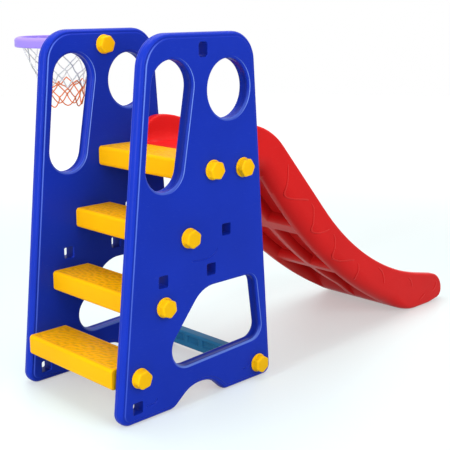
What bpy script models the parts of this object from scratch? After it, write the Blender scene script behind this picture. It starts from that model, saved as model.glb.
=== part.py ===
"""A toddler's climber with a slide and a net hoop, modelled piece by piece in metres, +Z up.

Everything is laid out on the side panels' plan: x runs from their front foot towards the slide's
toe, y across from the mid-plane, z up from the floor. One empty carries all the pieces and puts
the middle of the whole object's footprint at the world's origin. The "near" side is at -y.
"""
from math import acos, atan2, ceil, cos, hypot, pi, radians, sin, tan

import bmesh
import bpy
from mathutils import Vector

# Fits between pieces
FIT_GAP = 0.0003          # between faces that touch
CHORD_ERROR = 0.0008      # how far a facet may lie from its arc
EDGE_STEPS = 3            # facets in each rounded edge
TOOL_PAST = 0.002         # how far a cutting tool runs past the face that it opens
JOIN_DEPTH = 0.001        # how far joined shapes reach into each other

# Side panels
PANEL_HEIGHT = 1.100
PANEL_THICKNESS = 0.043
PANEL_EDGE = 0.016        # rounding of the outer edges
HOLE_EDGE = 0.006         # rounding of the edges of the holes
CLEAR_WIDTH = 0.4134      # between the panels' inner faces
FOOT_LENGTH = 0.629       # front foot to back foot, on the floor
TOP_FRONT_SETBACK = 0.116
TOP_LENGTH = 0.422        # along the top edge, between its two corners
FRONT_FOOT_ROUND = 0.038
BACK_FOOT_ROUND = 0.030
TOP_FRONT_ROUND = 0.100
TOP_BACK_ROUND = 0.090
ARCH_START = 0.209        # arch between the feet, measured along the floor
ARCH_LENGTH = 0.210
ARCH_FRONT_FLARE = 0.069  # length of the arch's sloping ends
ARCH_BACK_FLARE = 0.057
ARCH_HEIGHT = 0.054
ARCH_TOP_ROUND = 0.100
ARCH_FOOT_ROUNDS = (0.050, 0.025)

# Hand hole, porthole and lower opening, from the panel's top and its front and back edges
HAND_HOLE_TOP_DROP = 0.146
HAND_HOLE_TOP_RADIUS = 0.0745
HAND_HOLE_TOP_INSET = 0.113
HAND_HOLE_LENGTH = 0.225
HAND_HOLE_LOW_RADIUS = 0.067
HAND_HOLE_LOW_INSET = 0.105
HAND_HOLE_SIDES = 10      # facets in each of its two arcs
PORTHOLE_DROP = 0.1635
PORTHOLE_INSET = 0.120
PORTHOLE_WIDTH = 0.165
PORTHOLE_HEIGHT = 0.175
PORTHOLE_SIDES = 28
OPENING_FRONT_SILL = 0.119      # height of the lower opening's bottom edge at its front and back
OPENING_BACK_SILL = 0.138
OPENING_TOP = 0.354
OPENING_LOW_FRONT_INSET = 0.118
OPENING_HIGH_FRONT_INSET = 0.288
OPENING_LOW_BACK_INSET = 0.038
OPENING_HIGH_BACK_INSET = 0.053
OPENING_ROUNDS = (0.060, 0.042, 0.040, 0.100)   # low front, low back, high back, high front

# Accessory sockets: square holes right through the panels
SOCKET_SIZE = 0.036
SOCKET_ROUND = 0.005
SOCKET_EDGE = 0.002
SOCKETS = ((0.422, 0.517), (0.359, 0.405), (0.170, 0.404), (0.067, 0.049))
HOOP_SOCKET_X = 0.330
HOOP_SOCKET_DROP = 0.048
HOOP_SOCKET_WIDTH = 0.034
HOOP_SOCKET_HEIGHT = 0.042
HOOP_SOCKET_ROUND = 0.010

# Bolts: a flanged hexagonal head on a thick shank
SHANK_RADIUS = 0.012
THREAD_DEPTH = 0.025      # reach into the piece that it holds
THREAD_END_GAP = 0.001
SHANK_TIP_BEVEL = 0.002
FLANGE_RADIUS = 0.030
FLANGE_THICKNESS = 0.005
FLANGE_EDGE = 0.002
HEAD_CORNER_RADIUS = 0.028
HEAD_HEIGHT = 0.021
HEAD_EDGE = 0.004
HEAD_CORNER_ROUND = 0.006
BOLT_TURNS = (10, 38, 22, 50, 5, 30)   # how each head happens to stand, in degrees

# Steps: four alike, the top one is the platform
STEP_COUNT = 4
STEP_RUN = 0.097
STEP_RISE = 0.1883
STEP_DEPTH = 0.144
STEP_THICKNESS = 0.063
STEP_ROUND = 0.011
FIRST_BOLT_X = 0.0745
FIRST_BOLT_Z = 0.140
BOLT_BEHIND_STEP_FRONT = 0.0685
BOLT_BELOW_TREAD = 0.029
TREAD_BORDER = 0.013
TREAD_SINK = 0.0015

# Slide
SLIDE_BED_BELOW_PLATFORM = 0.004
SLIDE_WALL_ABOVE_PLATFORM = 0.082
SLIDE_BODY_BELOW_PLATFORM = 0.066
SLIDE_WALL_DEPTH = 0.065          # wall above the bed, square to the slope
SLIDE_WALL_THICKNESS = 0.036
SLIDE_BED_ROUND = 0.040
SLIDE_CREST_X = 0.211             # from the platform's back edge to the crest
SLIDE_CREST_ROUND = 0.251
SLIDE_ENTRY_ROUND = 0.098
SLIDE_SLOPE = radians(48.2)
SLIDE_TOE_SLOPE = radians(12.5)
SLIDE_RUNOUT_HEIGHT = 0.217       # where the slope would meet the toe's line
SLIDE_RUNOUT_ROUND = 1.136
SLIDE_TOE_LENGTH = 0.512
SLIDE_NOSE_ROUND = 0.080
SLIDE_NOSE_LIFT = 0.012
SLIDE_CHIN_LENGTH = 0.080
SLIDE_CHIN_ROUND = 0.030
SLIDE_CHIN_START_ROUND = 0.100
SLIDE_UNDER_START_ROUND = 0.020
SLIDE_UNDER_CREST_X = 0.196
SLIDE_UNDER_CREST_ROUND = 0.060
SLIDE_UNDER_SLOPE = radians(51.7)
SLIDE_UNDER_TOE_SLOPE = radians(26.4)
SLIDE_UNDER_ROUND = 1.900
SLIDE_HEEL_LENGTH = 0.240         # from the nose back to where the underside meets the floor
SLIDE_HEEL_ROUND = 0.300
SLIDE_TOP_EDGE = 0.009            # rounding of the long outer edges: on top, underneath, at the toe
SLIDE_BOTTOM_EDGE = 0.050
SLIDE_TOE_EDGE = 0.014
SLIDE_TOE_EDGE_START = 0.360      # from the nose back to where the large edge starts to fade
SLIDE_TOE_EDGE_FULL = 0.200       # and to where it has faded
SLIDE_TROUGH_EDGE = 0.002
SLIDE_BOLT_X = 0.049              # from the platform's back edge
SLIDE_BOLT_DROP = 0.036           # below the platform's top
POCKET_DEPTH = 0.018
POCKET_WIDTH = 0.095
POCKET_SPACING = 0.145            # between the two columns of pockets
POCKET_EDGE = 0.007
POCKETS = ((0.235, 0.389), (0.437, 0.659), (0.691, 0.950))   # start and end, from the platform
POCKET_STATIONS = 7
POCKET_TOOL_DEPTH = 0.030         # how far the pockets' tools reach below the underside
POCKET_TOOL_EDGE = 0.0005

# Cross brace
BRACE_FRONT_FROM_BACK_FOOT = 0.0865
BRACE_DEPTH = 0.040
BRACE_HEIGHT = 0.055
BRACE_CLEARANCE = 0.022           # floor to its underside
BRACE_ROUND = 0.009
BRACE_BOLT_Z = 0.052
BRACE_POCKETS = 4
BRACE_POCKET_PITCH = 0.074
BRACE_POCKET_WIDTH = 0.055
BRACE_POCKET_HEIGHT = 0.024
BRACE_POCKET_DEPTH = 0.010
BRACE_POCKET_TOP_WALL = 0.009
BRACE_POCKET_ROUND = 0.003

# Hoop and its bracket
HOOP_RADIUS = 0.152
HOOP_WIDTH = 0.020
HOOP_HEIGHT = 0.033
HOOP_TOP_DROP = 0.030             # ring's top below the panel's top
HOOP_BEVEL = 0.010
HOOP_EDGE = 0.002
HOOP_SEGMENTS = 40
HOOP_STAND_OFF = 0.184            # panel's outer face to the ring's centre
BRACKET_WIDTH = 0.090
BRACKET_HEIGHT = 0.072
BRACKET_THICKNESS = 0.008
BRACKET_ROUND = 0.012
BRACKET_DROP = 0.010              # plate's middle below the socket's
NECK_DROP = 0.003
NECK_ROUND = 0.006
NECK_WIDTH = 0.072
NECK_END_WIDTH = 0.056
NECK_HEIGHT = 0.052
NECK_END_HEIGHT = 0.020
NECK_STRAIGHT = 0.020

# Net
NET_COLUMNS = 8
NET_CORD = 0.005
NET_LEVELS = ((0.990, 0.106), (0.950, 0.086), (0.905, 0.073), (0.875, 0.068))   # height, radius
NET_HEM_HEIGHT = 0.845
NET_HEM_RADIUS = 0.062
PEG_WIDTH = 0.005
PEG_HEIGHT = 0.006
PEG_LENGTH = 0.009
PEG_DROP = 0.028                  # peg's top below the ring's top
HOOK_ROOT = 0.002                 # how far the hooks reach into the ring
NET_LOOP_SPAN = 0.016             # width of the cord loop over each peg
ARCH_HOOK_WIDTH = 0.016
ARCH_HOOK_BAR = 0.004
ARCH_HOOK_RISE = 0.006            # above the ring's top

BLUE = (0.0110, 0.0340, 0.4510)
YELLOW = (0.9740, 0.4790, 0.0060)
RED = (0.7310, 0.0180, 0.0180)
TEAL = (0.0240, 0.1480, 0.3190)
PURPLE = (0.3760, 0.2620, 0.8710)
ORANGE = (0.7530, 0.1270, 0.0320)

# Places worked out from the sizes
INNER_FACE = CLEAR_WIDTH / 2
OUTER_FACE = INNER_FACE + PANEL_THICKNESS
FITTED_HALF = INNER_FACE - FIT_GAP
SHANK_LENGTH = PANEL_THICKNESS + THREAD_DEPTH
BOLT_SIDES = 18
BORE_RADIUS = (SHANK_RADIUS + FIT_GAP) / cos(pi / BOLT_SIDES)
PLATFORM_BOLT_X = FIRST_BOLT_X + (STEP_COUNT - 1) * STEP_RUN
PLATFORM_BOLT_Z = FIRST_BOLT_Z + (STEP_COUNT - 1) * STEP_RISE
PLATFORM_TOP = PLATFORM_BOLT_Z + BOLT_BELOW_TREAD
PLATFORM_BACK = PLATFORM_BOLT_X - BOLT_BEHIND_STEP_FRONT + STEP_DEPTH
SLIDE_START = PLATFORM_BACK + FIT_GAP
BRACE_FRONT = FOOT_LENGTH - BRACE_FRONT_FROM_BACK_FOOT
HOOP_SOCKET_Z = PANEL_HEIGHT - HOOP_SOCKET_DROP
HOOP_TOP = PANEL_HEIGHT - HOOP_TOP_DROP
HOOP_CENTRE_Y = OUTER_FACE + HOOP_STAND_OFF
HOOP_BOLT_REACH = SHANK_LENGTH + THREAD_END_GAP


def panel_front(z):
    """x of the panel's front edge at a height."""
    return TOP_FRONT_SETBACK * z / PANEL_HEIGHT


def panel_back(z):
    """x of the panel's back edge at a height."""
    top_back = TOP_FRONT_SETBACK + TOP_LENGTH
    return FOOT_LENGTH + (top_back - FOOT_LENGTH) * z / PANEL_HEIGHT


def foot_reach():
    """x of the first thing that the plan meets: a front foot's rounded corner or the first step."""
    return min([point[0] for point in panel_outline()] + [FIRST_BOLT_X - BOLT_BEHIND_STEP_FRONT])


def arc_facets(radius, turn):
    """How many chords an arc needs to stay within the chord error."""
    if radius <= CHORD_ERROR:
        return 1
    return max(1, ceil(abs(turn) / (2 * acos(1 - CHORD_ERROR / radius))))


def rounded_outline(corners):
    """Points (x, z, normal x, normal z, room) along a counter-clockwise polygon with rounded corners.

    Each corner is (x, z, radius). The room is how far a point can move inwards before its own
    corner folds over.
    """
    points = []
    count = len(corners)
    for index in range(count):
        x, z, radius = corners[index]
        before = corners[index - 1]
        after = corners[(index + 1) % count]
        came = atan2(z - before[1], x - before[0])
        goes = atan2(after[1] - z, after[0] - x)
        turn = (goes - came + pi) % (2 * pi) - pi
        side = 1 if turn > 0 else -1
        set_back = radius * tan(abs(turn) / 2)
        centre_x = x - cos(came) * set_back - side * radius * sin(came)
        centre_z = z - sin(came) * set_back + side * radius * cos(came)
        facets = arc_facets(radius, turn)
        for step in range(facets + 1):
            heading = came + turn * step / facets
            normal = (sin(heading), -cos(heading))
            points.append((centre_x + side * radius * normal[0], centre_z + side * radius * normal[1],
                           normal[0], normal[1], radius if side > 0 else 1.0))
    return points


def circle_outline(x, z, radius, sides, turned=0.0):
    """A regular outline in the same form as rounded_outline."""
    points = []
    for step in range(sides):
        angle = turned + 2 * pi * step / sides
        points.append((x + radius * cos(angle), z + radius * sin(angle), cos(angle), sin(angle), radius))
    return points


def oval_outline(x, z, width, height, sides):
    """An ellipse in the same form."""
    points = []
    for step in range(sides):
        angle = 2 * pi * step / sides
        normal = Vector((cos(angle) * height, sin(angle) * width)).normalized()
        points.append((x + width / 2 * cos(angle), z + height / 2 * sin(angle), normal.x, normal.y,
                       min(width, height) / 2))
    return points


def stadium_outline(high, low, sides):
    """The outline round two unlike circles, each (x, z, radius), the high one first."""
    away = (high[0] - low[0], high[1] - low[1])
    length = hypot(*away)
    lean = atan2(away[1], away[0])
    open_angle = acos((low[2] - high[2]) / length)
    points = []
    for (x, z, radius), start, sweep in ((high, lean - open_angle, 2 * open_angle),
                                         (low, lean + open_angle, 2 * (pi - open_angle))):
        for step in range(sides + 1):
            angle = start + sweep * step / sides
            points.append((x + radius * cos(angle), z + radius * sin(angle), cos(angle), sin(angle), radius))
    return points


def ring_at(outline, y, inset):
    """One loop of an outline at a depth y, moved inwards by a number or one number a point."""
    if not isinstance(inset, list):
        inset = [inset] * len(outline)
    return [(x - nx * move, y, z - nz * move) for (x, z, nx, nz, _), move in zip(outline, inset)]


def slab_rings(outline, low_y, high_y, edge):
    """Loops of a plate across y whose edges are rounded by a radius, or a function of x and nz."""
    rounds = []
    for x, z, nx, nz, room in outline:
        wanted = edge(x, nz) if callable(edge) else edge
        rounds.append(min(wanted, 0.9 * room))
    rings = []
    for face_y, inward in ((low_y, 1), (high_y, -1)):
        side = []
        for step in range(EDGE_STEPS + 1):
            angle = pi / 2 * step / EDGE_STEPS
            moves = [r * (1 - sin(angle)) for r in rounds]
            depths = [r * (1 - cos(angle)) for r in rounds]
            side.append([(x - nx * move, face_y + inward * depth, z - nz * move)
                         for (x, z, nx, nz, _), move, depth in zip(outline, moves, depths)])
        rings += side if inward == 1 else side[::-1]
    return rings


def hole_rings(outline, low_y, high_y, lip):
    """Loops of a cutter that goes right through a plate and rounds the hole's edges at both faces."""
    rings = []
    for face_y, inward in ((low_y, 1), (high_y, -1)):
        side = []
        for step in range(EDGE_STEPS):
            angle = pi / 2 * step / EDGE_STEPS
            grown = lip * (1 - cos(angle))
            side.append(ring_at(outline, face_y + inward * lip * (1 - sin(angle)), -grown))
        slope = (lip - grown) / (lip * (1 - sin(angle)))
        side.append(ring_at(outline, face_y - inward * TOOL_PAST, -(lip + TOOL_PAST * slope)))
        side.reverse()
        rings += side if inward == 1 else side[::-1]
    return rings


def add_shell(bm, rings, around=False):
    """Skin a row of equal loops; close it with end faces, or into a ring when around is True."""
    loops = [[bm.verts.new(point) for point in ring] for ring in rings]
    count = len(loops[0])
    pairs = list(zip(loops, loops[1:]))
    if around:
        pairs.append((loops[-1], loops[0]))
    for first, second in pairs:
        for index in range(count):
            after = (index + 1) % count
            bm.faces.new((first[index], first[after], second[after], second[index]))
    if not around:
        bm.faces.new(loops[0][::-1])
        bm.faces.new(loops[-1])


def mesh_of(name, shells):
    """A mesh of one or more closed shells, given as lists of loops."""
    bm = bmesh.new()
    for rings in shells:
        add_shell(bm, rings)
    bmesh.ops.recalc_face_normals(bm, faces=bm.faces)
    mesh = bpy.data.meshes.new(name)
    bm.to_mesh(mesh)
    bm.free()
    return mesh


def ring_mesh(name, rings):
    """A mesh of one shell closed on itself, such as a turned ring."""
    bm = bmesh.new()
    add_shell(bm, rings, around=True)
    bmesh.ops.recalc_face_normals(bm, faces=bm.faces)
    mesh = bpy.data.meshes.new(name)
    bm.to_mesh(mesh)
    bm.free()
    return mesh


def material(name, colour, roughness):
    """A plain Principled finish."""
    made = bpy.data.materials.new(name)
    made.use_nodes = True
    shader = made.node_tree.nodes["Principled BSDF"]
    shader.inputs["Base Color"].default_value = (*colour, 1.0)
    shader.inputs["Roughness"].default_value = roughness
    shader.inputs["Metallic"].default_value = 0.0
    made.diffuse_color = (*colour, 1.0)
    return made


def place(name, mesh, location, finish, parent):
    """Put a piece on the plan, shaded smooth except at its sharp edges."""
    piece = bpy.data.objects.new(name, mesh)
    bpy.context.scene.collection.objects.link(piece)
    piece.location = location
    piece.parent = parent
    if finish is not None:
        mesh.materials.clear()
        mesh.materials.append(finish)
        mesh.shade_smooth()
        mesh.set_sharp_from_angle(angle=radians(35))
    return piece


def combine(piece, tool_name, tool_mesh, operation):
    """Cut a tool shape out of a piece, or join it on, with a Boolean; the tool stays as a guide."""
    tool = place(tool_name, tool_mesh, piece.location, None, piece.parent)
    tool.hide_render = True
    tool.display_type = "WIRE"
    step = piece.modifiers.new(tool_name, "BOOLEAN")
    step.operation = operation
    step.solver = "EXACT"
    step.object = tool


def panel_outline():
    """The side panel's edge, from the front foot round by the arch, the back and the top."""
    arch_end = ARCH_START + ARCH_LENGTH
    return rounded_outline([
        (0.0, 0.0, FRONT_FOOT_ROUND),
        (ARCH_START, 0.0, ARCH_FOOT_ROUNDS[0]),
        (ARCH_START + ARCH_FRONT_FLARE, ARCH_HEIGHT, ARCH_TOP_ROUND),
        (arch_end - ARCH_BACK_FLARE, ARCH_HEIGHT, ARCH_TOP_ROUND),
        (arch_end, 0.0, ARCH_FOOT_ROUNDS[1]),
        (FOOT_LENGTH, 0.0, BACK_FOOT_ROUND),
        (panel_back(PANEL_HEIGHT), PANEL_HEIGHT, TOP_BACK_ROUND),
        (panel_front(PANEL_HEIGHT), PANEL_HEIGHT, TOP_FRONT_ROUND)])


def lower_opening_outline():
    """The big four-sided opening above the arch."""
    front, back, top = OPENING_FRONT_SILL, OPENING_BACK_SILL, OPENING_TOP
    rounds = OPENING_ROUNDS
    return rounded_outline([
        (panel_front(front) + OPENING_LOW_FRONT_INSET, front, rounds[0]),
        (panel_back(back) - OPENING_LOW_BACK_INSET, back, rounds[1]),
        (panel_back(top) - OPENING_HIGH_BACK_INSET, top, rounds[2]),
        (panel_front(top) + OPENING_HIGH_FRONT_INSET, top, rounds[3])])


def hand_hole_outline():
    """The long hand hole behind the front edge, wider at its top."""
    top_z = PANEL_HEIGHT - HAND_HOLE_TOP_DROP
    low_z = top_z - HAND_HOLE_LENGTH
    high = (panel_front(top_z) + HAND_HOLE_TOP_INSET, top_z, HAND_HOLE_TOP_RADIUS)
    low = (panel_front(low_z) + HAND_HOLE_LOW_INSET, low_z, HAND_HOLE_LOW_RADIUS)
    return stadium_outline(high, low, HAND_HOLE_SIDES)


def rectangle_outline(x, z, width, height, radius):
    """A rounded rectangle about a centre."""
    half_width = width / 2
    half_height = height / 2
    return rounded_outline([(x - half_width, z - half_height, radius), (x + half_width, z - half_height, radius),
                            (x + half_width, z + half_height, radius), (x - half_width, z + half_height, radius)])


def bolt_places():
    """Where the bolts pass through a panel: the steps' from the bottom up, the slide's, the brace's."""
    places = [(FIRST_BOLT_X + i * STEP_RUN, FIRST_BOLT_Z + i * STEP_RISE) for i in range(STEP_COUNT)]
    places.append((PLATFORM_BACK + SLIDE_BOLT_X, PLATFORM_TOP - SLIDE_BOLT_DROP))
    places.append((BRACE_FRONT + BRACE_DEPTH / 2, BRACE_BOLT_Z))
    return places


def bore_rings(x, z, low_y, high_y):
    """A bore that takes a bolt's shank."""
    outline = circle_outline(x, z, BORE_RADIUS, BOLT_SIDES)
    return [ring_at(outline, low_y, 0.0), ring_at(outline, high_y, 0.0)]


def end_bores(x, z):
    """The two threaded holes in the ends of a piece that spans the panels."""
    depth = THREAD_DEPTH + THREAD_END_GAP
    return [bore_rings(x, z, -FITTED_HALF - TOOL_PAST, -FITTED_HALF + depth),
            bore_rings(x, z, FITTED_HALF - depth, FITTED_HALF + TOOL_PAST)]


def make_panels(finish, root):
    """The two side panels, each a rounded plate with its holes cut through."""
    half = PANEL_THICKNESS / 2
    port_z = PANEL_HEIGHT - PORTHOLE_DROP
    port_x = panel_back(port_z) - PORTHOLE_INSET
    porthole = oval_outline(port_x, port_z, PORTHOLE_WIDTH, PORTHOLE_HEIGHT, PORTHOLE_SIDES)
    cuts = [hole_rings(outline, -half, half, HOLE_EDGE)
            for outline in (hand_hole_outline(), porthole, lower_opening_outline())]
    for x, z in SOCKETS:
        square = rectangle_outline(x, z, SOCKET_SIZE, SOCKET_SIZE, SOCKET_ROUND)
        cuts.append(hole_rings(square, -half, half, SOCKET_EDGE))
    hoop_socket = rectangle_outline(HOOP_SOCKET_X, HOOP_SOCKET_Z, HOOP_SOCKET_WIDTH, HOOP_SOCKET_HEIGHT,
                                    HOOP_SOCKET_ROUND)
    cuts.append(hole_rings(hoop_socket, -half, half, SOCKET_EDGE))
    cuts += [bore_rings(x, z, -half - TOOL_PAST, half + TOOL_PAST) for x, z in bolt_places()]
    for name, side in (("near_side_panel", -1), ("far_side_panel", 1)):
        plate = slab_rings(panel_outline(), -half, half, PANEL_EDGE)
        panel = place(name, mesh_of(name, [plate]), (0, side * (INNER_FACE + half), 0), finish, root)
        combine(panel, name + "_holes", mesh_of(name + "_holes", cuts), "DIFFERENCE")


def make_steps(finish, root):
    """Four like steps between the panels, each with a sunk tread and a threaded hole in both ends."""
    centre_x = STEP_DEPTH / 2 - BOLT_BEHIND_STEP_FRONT
    centre_z = BOLT_BELOW_TREAD - STEP_THICKNESS / 2
    box = rectangle_outline(centre_x, centre_z, STEP_DEPTH, STEP_THICKNESS, STEP_ROUND)
    tread_bottom = BOLT_BELOW_TREAD - TREAD_SINK
    tread_half = STEP_DEPTH / 2 - TREAD_BORDER
    tread_end = FITTED_HALF - TREAD_BORDER
    tool_height = TREAD_SINK + TOOL_PAST
    tread = rectangle_outline(centre_x, tread_bottom + tool_height / 2, 2 * tread_half, tool_height, 0.0)
    cuts = end_bores(0.0, 0.0)
    cuts.append([ring_at(tread, -tread_end, 0.0), ring_at(tread, tread_end, 0.0)])
    for index in range(STEP_COUNT):
        name = f"step_{index + 1}"
        spot = (FIRST_BOLT_X + index * STEP_RUN, 0, FIRST_BOLT_Z + index * STEP_RISE)
        body = [ring_at(box, -FITTED_HALF, 0.0), ring_at(box, FITTED_HALF, 0.0)]
        step = place(name, mesh_of(name, [body]), spot, finish, root)
        combine(step, name + "_cuts", mesh_of(name + "_cuts", cuts), "DIFFERENCE")


def meet(first, second):
    """Where two falling lines meet; each is (x, z, slope angle below level)."""
    fall_1 = tan(first[2])
    fall_2 = tan(second[2])
    x = (first[1] - second[1] + first[0] * fall_1 - second[0] * fall_2) / (fall_1 - fall_2)
    return x, first[1] - (x - first[0]) * fall_1


def slide_nose_x():
    """The far end of the slide."""
    wall_top = PLATFORM_TOP + SLIDE_WALL_ABOVE_PLATFORM
    slope_run = (wall_top - SLIDE_RUNOUT_HEIGHT) / tan(SLIDE_SLOPE)
    return SLIDE_START + SLIDE_CREST_X + slope_run + SLIDE_TOE_LENGTH


def slide_lines(depth):
    """Crest and run-out corners of the line that lies a depth below the walls' top edge."""
    wall_top = PLATFORM_TOP + SLIDE_WALL_ABOVE_PLATFORM
    slope_run = (wall_top - SLIDE_RUNOUT_HEIGHT) / tan(SLIDE_SLOPE)
    crest_x = SLIDE_START + SLIDE_CREST_X
    slope = (crest_x, wall_top - depth / cos(SLIDE_SLOPE), SLIDE_SLOPE)
    toe = (crest_x + slope_run, SLIDE_RUNOUT_HEIGHT - depth / cos(SLIDE_TOE_SLOPE), SLIDE_TOE_SLOPE)
    return slope, toe


def slide_underside():
    """Corners of the slide's underside, from the floor at the toe up to its start."""
    heel = (slide_nose_x() - SLIDE_HEEL_LENGTH, 0.0, SLIDE_UNDER_TOE_SLOPE)
    under = PLATFORM_TOP - SLIDE_BODY_BELOW_PLATFORM
    crest = (SLIDE_START + SLIDE_UNDER_CREST_X, under, SLIDE_UNDER_SLOPE)
    bend_x, bend_z = meet(crest, heel)
    return [(SLIDE_START, under, SLIDE_UNDER_START_ROUND), (crest[0], under, SLIDE_UNDER_CREST_ROUND),
            (bend_x, bend_z, SLIDE_UNDER_ROUND), (heel[0], 0.0, SLIDE_HEEL_ROUND)]


def slide_side_outline():
    """The slide seen from the side: underside, chin, nose, and the top edge of its walls."""
    nose_x = slide_nose_x()
    slope, toe = slide_lines(0.0)
    runout_x, runout_z = meet(slope, toe)
    nose_z = toe[1] - (nose_x - toe[0]) * tan(SLIDE_TOE_SLOPE)
    wall_top = PLATFORM_TOP + SLIDE_WALL_ABOVE_PLATFORM
    entry_room = SLIDE_CREST_X - SLIDE_CREST_ROUND * tan(SLIDE_SLOPE / 2)
    return rounded_outline(slide_underside() + [
        (nose_x - SLIDE_CHIN_LENGTH, 0.0, SLIDE_CHIN_START_ROUND),
        (nose_x, SLIDE_NOSE_LIFT, SLIDE_CHIN_ROUND),
        (nose_x, nose_z, SLIDE_NOSE_ROUND),
        (runout_x, runout_z, SLIDE_RUNOUT_ROUND),
        (slope[0], wall_top, SLIDE_CREST_ROUND),
        (SLIDE_START, wall_top, min(SLIDE_ENTRY_ROUND, 0.99 * entry_room))])


def slide_edge(x, nz):
    """The slide's long edges: small on top, large underneath, and small again at the toe.

    nz is the height of the outline's outward normal, 1 on top and -1 underneath.
    """
    under = min(max((0.2 - nz) / 0.9, 0.0), 1.0)
    from_nose = slide_nose_x() - x
    toe = min(max((SLIDE_TOE_EDGE_START - from_nose) / (SLIDE_TOE_EDGE_START - SLIDE_TOE_EDGE_FULL), 0.0), 1.0)
    lower = SLIDE_BOTTOM_EDGE + (SLIDE_TOE_EDGE - SLIDE_BOTTOM_EDGE) * toe
    return SLIDE_TOP_EDGE + (lower - SLIDE_TOP_EDGE) * under


def trough_rings():
    """The cutter that leaves the bed between the walls, open at both ends."""
    past = 0.10
    end_round = 0.05
    bed = PLATFORM_TOP - SLIDE_BED_BELOW_PLATFORM
    slope, toe = slide_lines(SLIDE_WALL_DEPTH)
    runout_x, runout_z = meet(slope, toe)
    crest_x, crest_z = meet((SLIDE_START, bed, 0.0), slope)
    end_x = slide_nose_x() + past
    end_z = toe[1] - (end_x - toe[0]) * tan(SLIDE_TOE_SLOPE)
    high = PLATFORM_TOP + SLIDE_WALL_ABOVE_PLATFORM + past
    outline = rounded_outline([
        (SLIDE_START - past, bed, end_round), (crest_x, crest_z, SLIDE_CREST_ROUND - SLIDE_WALL_DEPTH),
        (runout_x, runout_z, SLIDE_RUNOUT_ROUND + SLIDE_WALL_DEPTH), (end_x, end_z, end_round),
        (end_x, high, end_round), (SLIDE_START - past, high, end_round)])
    half = FITTED_HALF - SLIDE_WALL_THICKNESS
    return slab_rings(outline, -half, half, lambda x, nz: SLIDE_BED_ROUND if nz < 0 else SLIDE_TROUGH_EDGE)


def underside_at(line, x):
    """Point and upward normal on the slide's underside at an x, read from its rounded line."""
    for first, second in zip(line, line[1:]):
        if first[0] <= x <= second[0]:
            share = (x - first[0]) / (second[0] - first[0])
            along = Vector((second[0] - first[0], second[1] - first[1])).normalized()
            return (x, first[1] + share * (second[1] - first[1])), (-along.y, along.x)
    return (x, 0.0), (0.0, 1.0)


def pocket_shells():
    """Cutters for the pockets in the underside, in two columns; the last pair fades out at the toe.

    Their stations stand on the underside's line, drawn on at both ends so that its bends are whole.
    """
    corners = slide_underside()
    start_x, start_z, _ = corners[0]
    nose_x = slide_nose_x()
    line = rounded_outline([(start_x - SLIDE_CREST_X, start_z, 0.0)] + corners[1:]
                           + [(nose_x, 0.0, 0.0), (nose_x, PANEL_HEIGHT, 0.0)])
    line = [point for point in line if point[1] < start_z + FIT_GAP]
    shells = []
    for index, (start, stop) in enumerate(POCKETS):
        upper = []
        lower = []
        for station in range(POCKET_STATIONS):
            share = station / (POCKET_STATIONS - 1)
            (x, z), (ux, uz) = underside_at(line, SLIDE_START + start + share * (stop - start))
            fade = min(1.0, 2.0 * (1 - share)) if index == len(POCKETS) - 1 else 1.0
            depth = POCKET_DEPTH * fade - TOOL_PAST * (1 - fade)
            upper.append((x + ux * depth, z + uz * depth, ux, uz, 1.0))
            lower.append((x - ux * POCKET_TOOL_DEPTH, z - uz * POCKET_TOOL_DEPTH, -ux, -uz, 1.0))
        outline = lower + upper[::-1]
        for side in (-1, 1):
            middle = side * POCKET_SPACING / 2
            shells.append(slab_rings(outline, middle - POCKET_WIDTH / 2, middle + POCKET_WIDTH / 2,
                                     lambda x, nz: POCKET_EDGE if nz > 0 else POCKET_TOOL_EDGE))
    return shells


def make_slide(finish, root):
    """The slide: its side outline across the width, less the trough, the pockets and the bolt holes."""
    body = slab_rings(slide_side_outline(), -FITTED_HALF, FITTED_HALF, slide_edge)
    slide = place("slide", mesh_of("slide", [body]), (0, 0, 0), finish, root)
    combine(slide, "slide_trough", mesh_of("slide_trough", [trough_rings()]), "DIFFERENCE")
    combine(slide, "slide_pockets", mesh_of("slide_pockets", pocket_shells()), "DIFFERENCE")
    bolt_x, bolt_z = bolt_places()[STEP_COUNT]
    combine(slide, "slide_bores", mesh_of("slide_bores", end_bores(bolt_x, bolt_z)), "DIFFERENCE")


def make_brace(finish, root):
    """The low beam between the panels, with a row of pockets in its front face."""
    box = rectangle_outline(BRACE_FRONT + BRACE_DEPTH / 2, BRACE_CLEARANCE + BRACE_HEIGHT / 2,
                            BRACE_DEPTH, BRACE_HEIGHT, BRACE_ROUND)
    body = [ring_at(box, -FITTED_HALF, 0.0), ring_at(box, FITTED_HALF, 0.0)]
    cuts = end_bores(BRACE_FRONT + BRACE_DEPTH / 2, BRACE_BOLT_Z)
    before = 2 * BRACE_POCKET_ROUND
    pocket_z = BRACE_CLEARANCE + BRACE_HEIGHT - BRACE_POCKET_TOP_WALL - BRACE_POCKET_HEIGHT / 2
    pocket = rectangle_outline(BRACE_FRONT + (BRACE_POCKET_DEPTH - before) / 2, pocket_z,
                               BRACE_POCKET_DEPTH + before, BRACE_POCKET_HEIGHT, BRACE_POCKET_ROUND)
    for index in range(BRACE_POCKETS):
        middle = (index - (BRACE_POCKETS - 1) / 2) * BRACE_POCKET_PITCH
        cuts.append([ring_at(pocket, middle - BRACE_POCKET_WIDTH / 2, 0.0),
                     ring_at(pocket, middle + BRACE_POCKET_WIDTH / 2, 0.0)])
    brace = place("cross_brace", mesh_of("cross_brace", [body]), (0, 0, 0), finish, root)
    combine(brace, "cross_brace_cuts", mesh_of("cross_brace_cuts", cuts), "DIFFERENCE")


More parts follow.
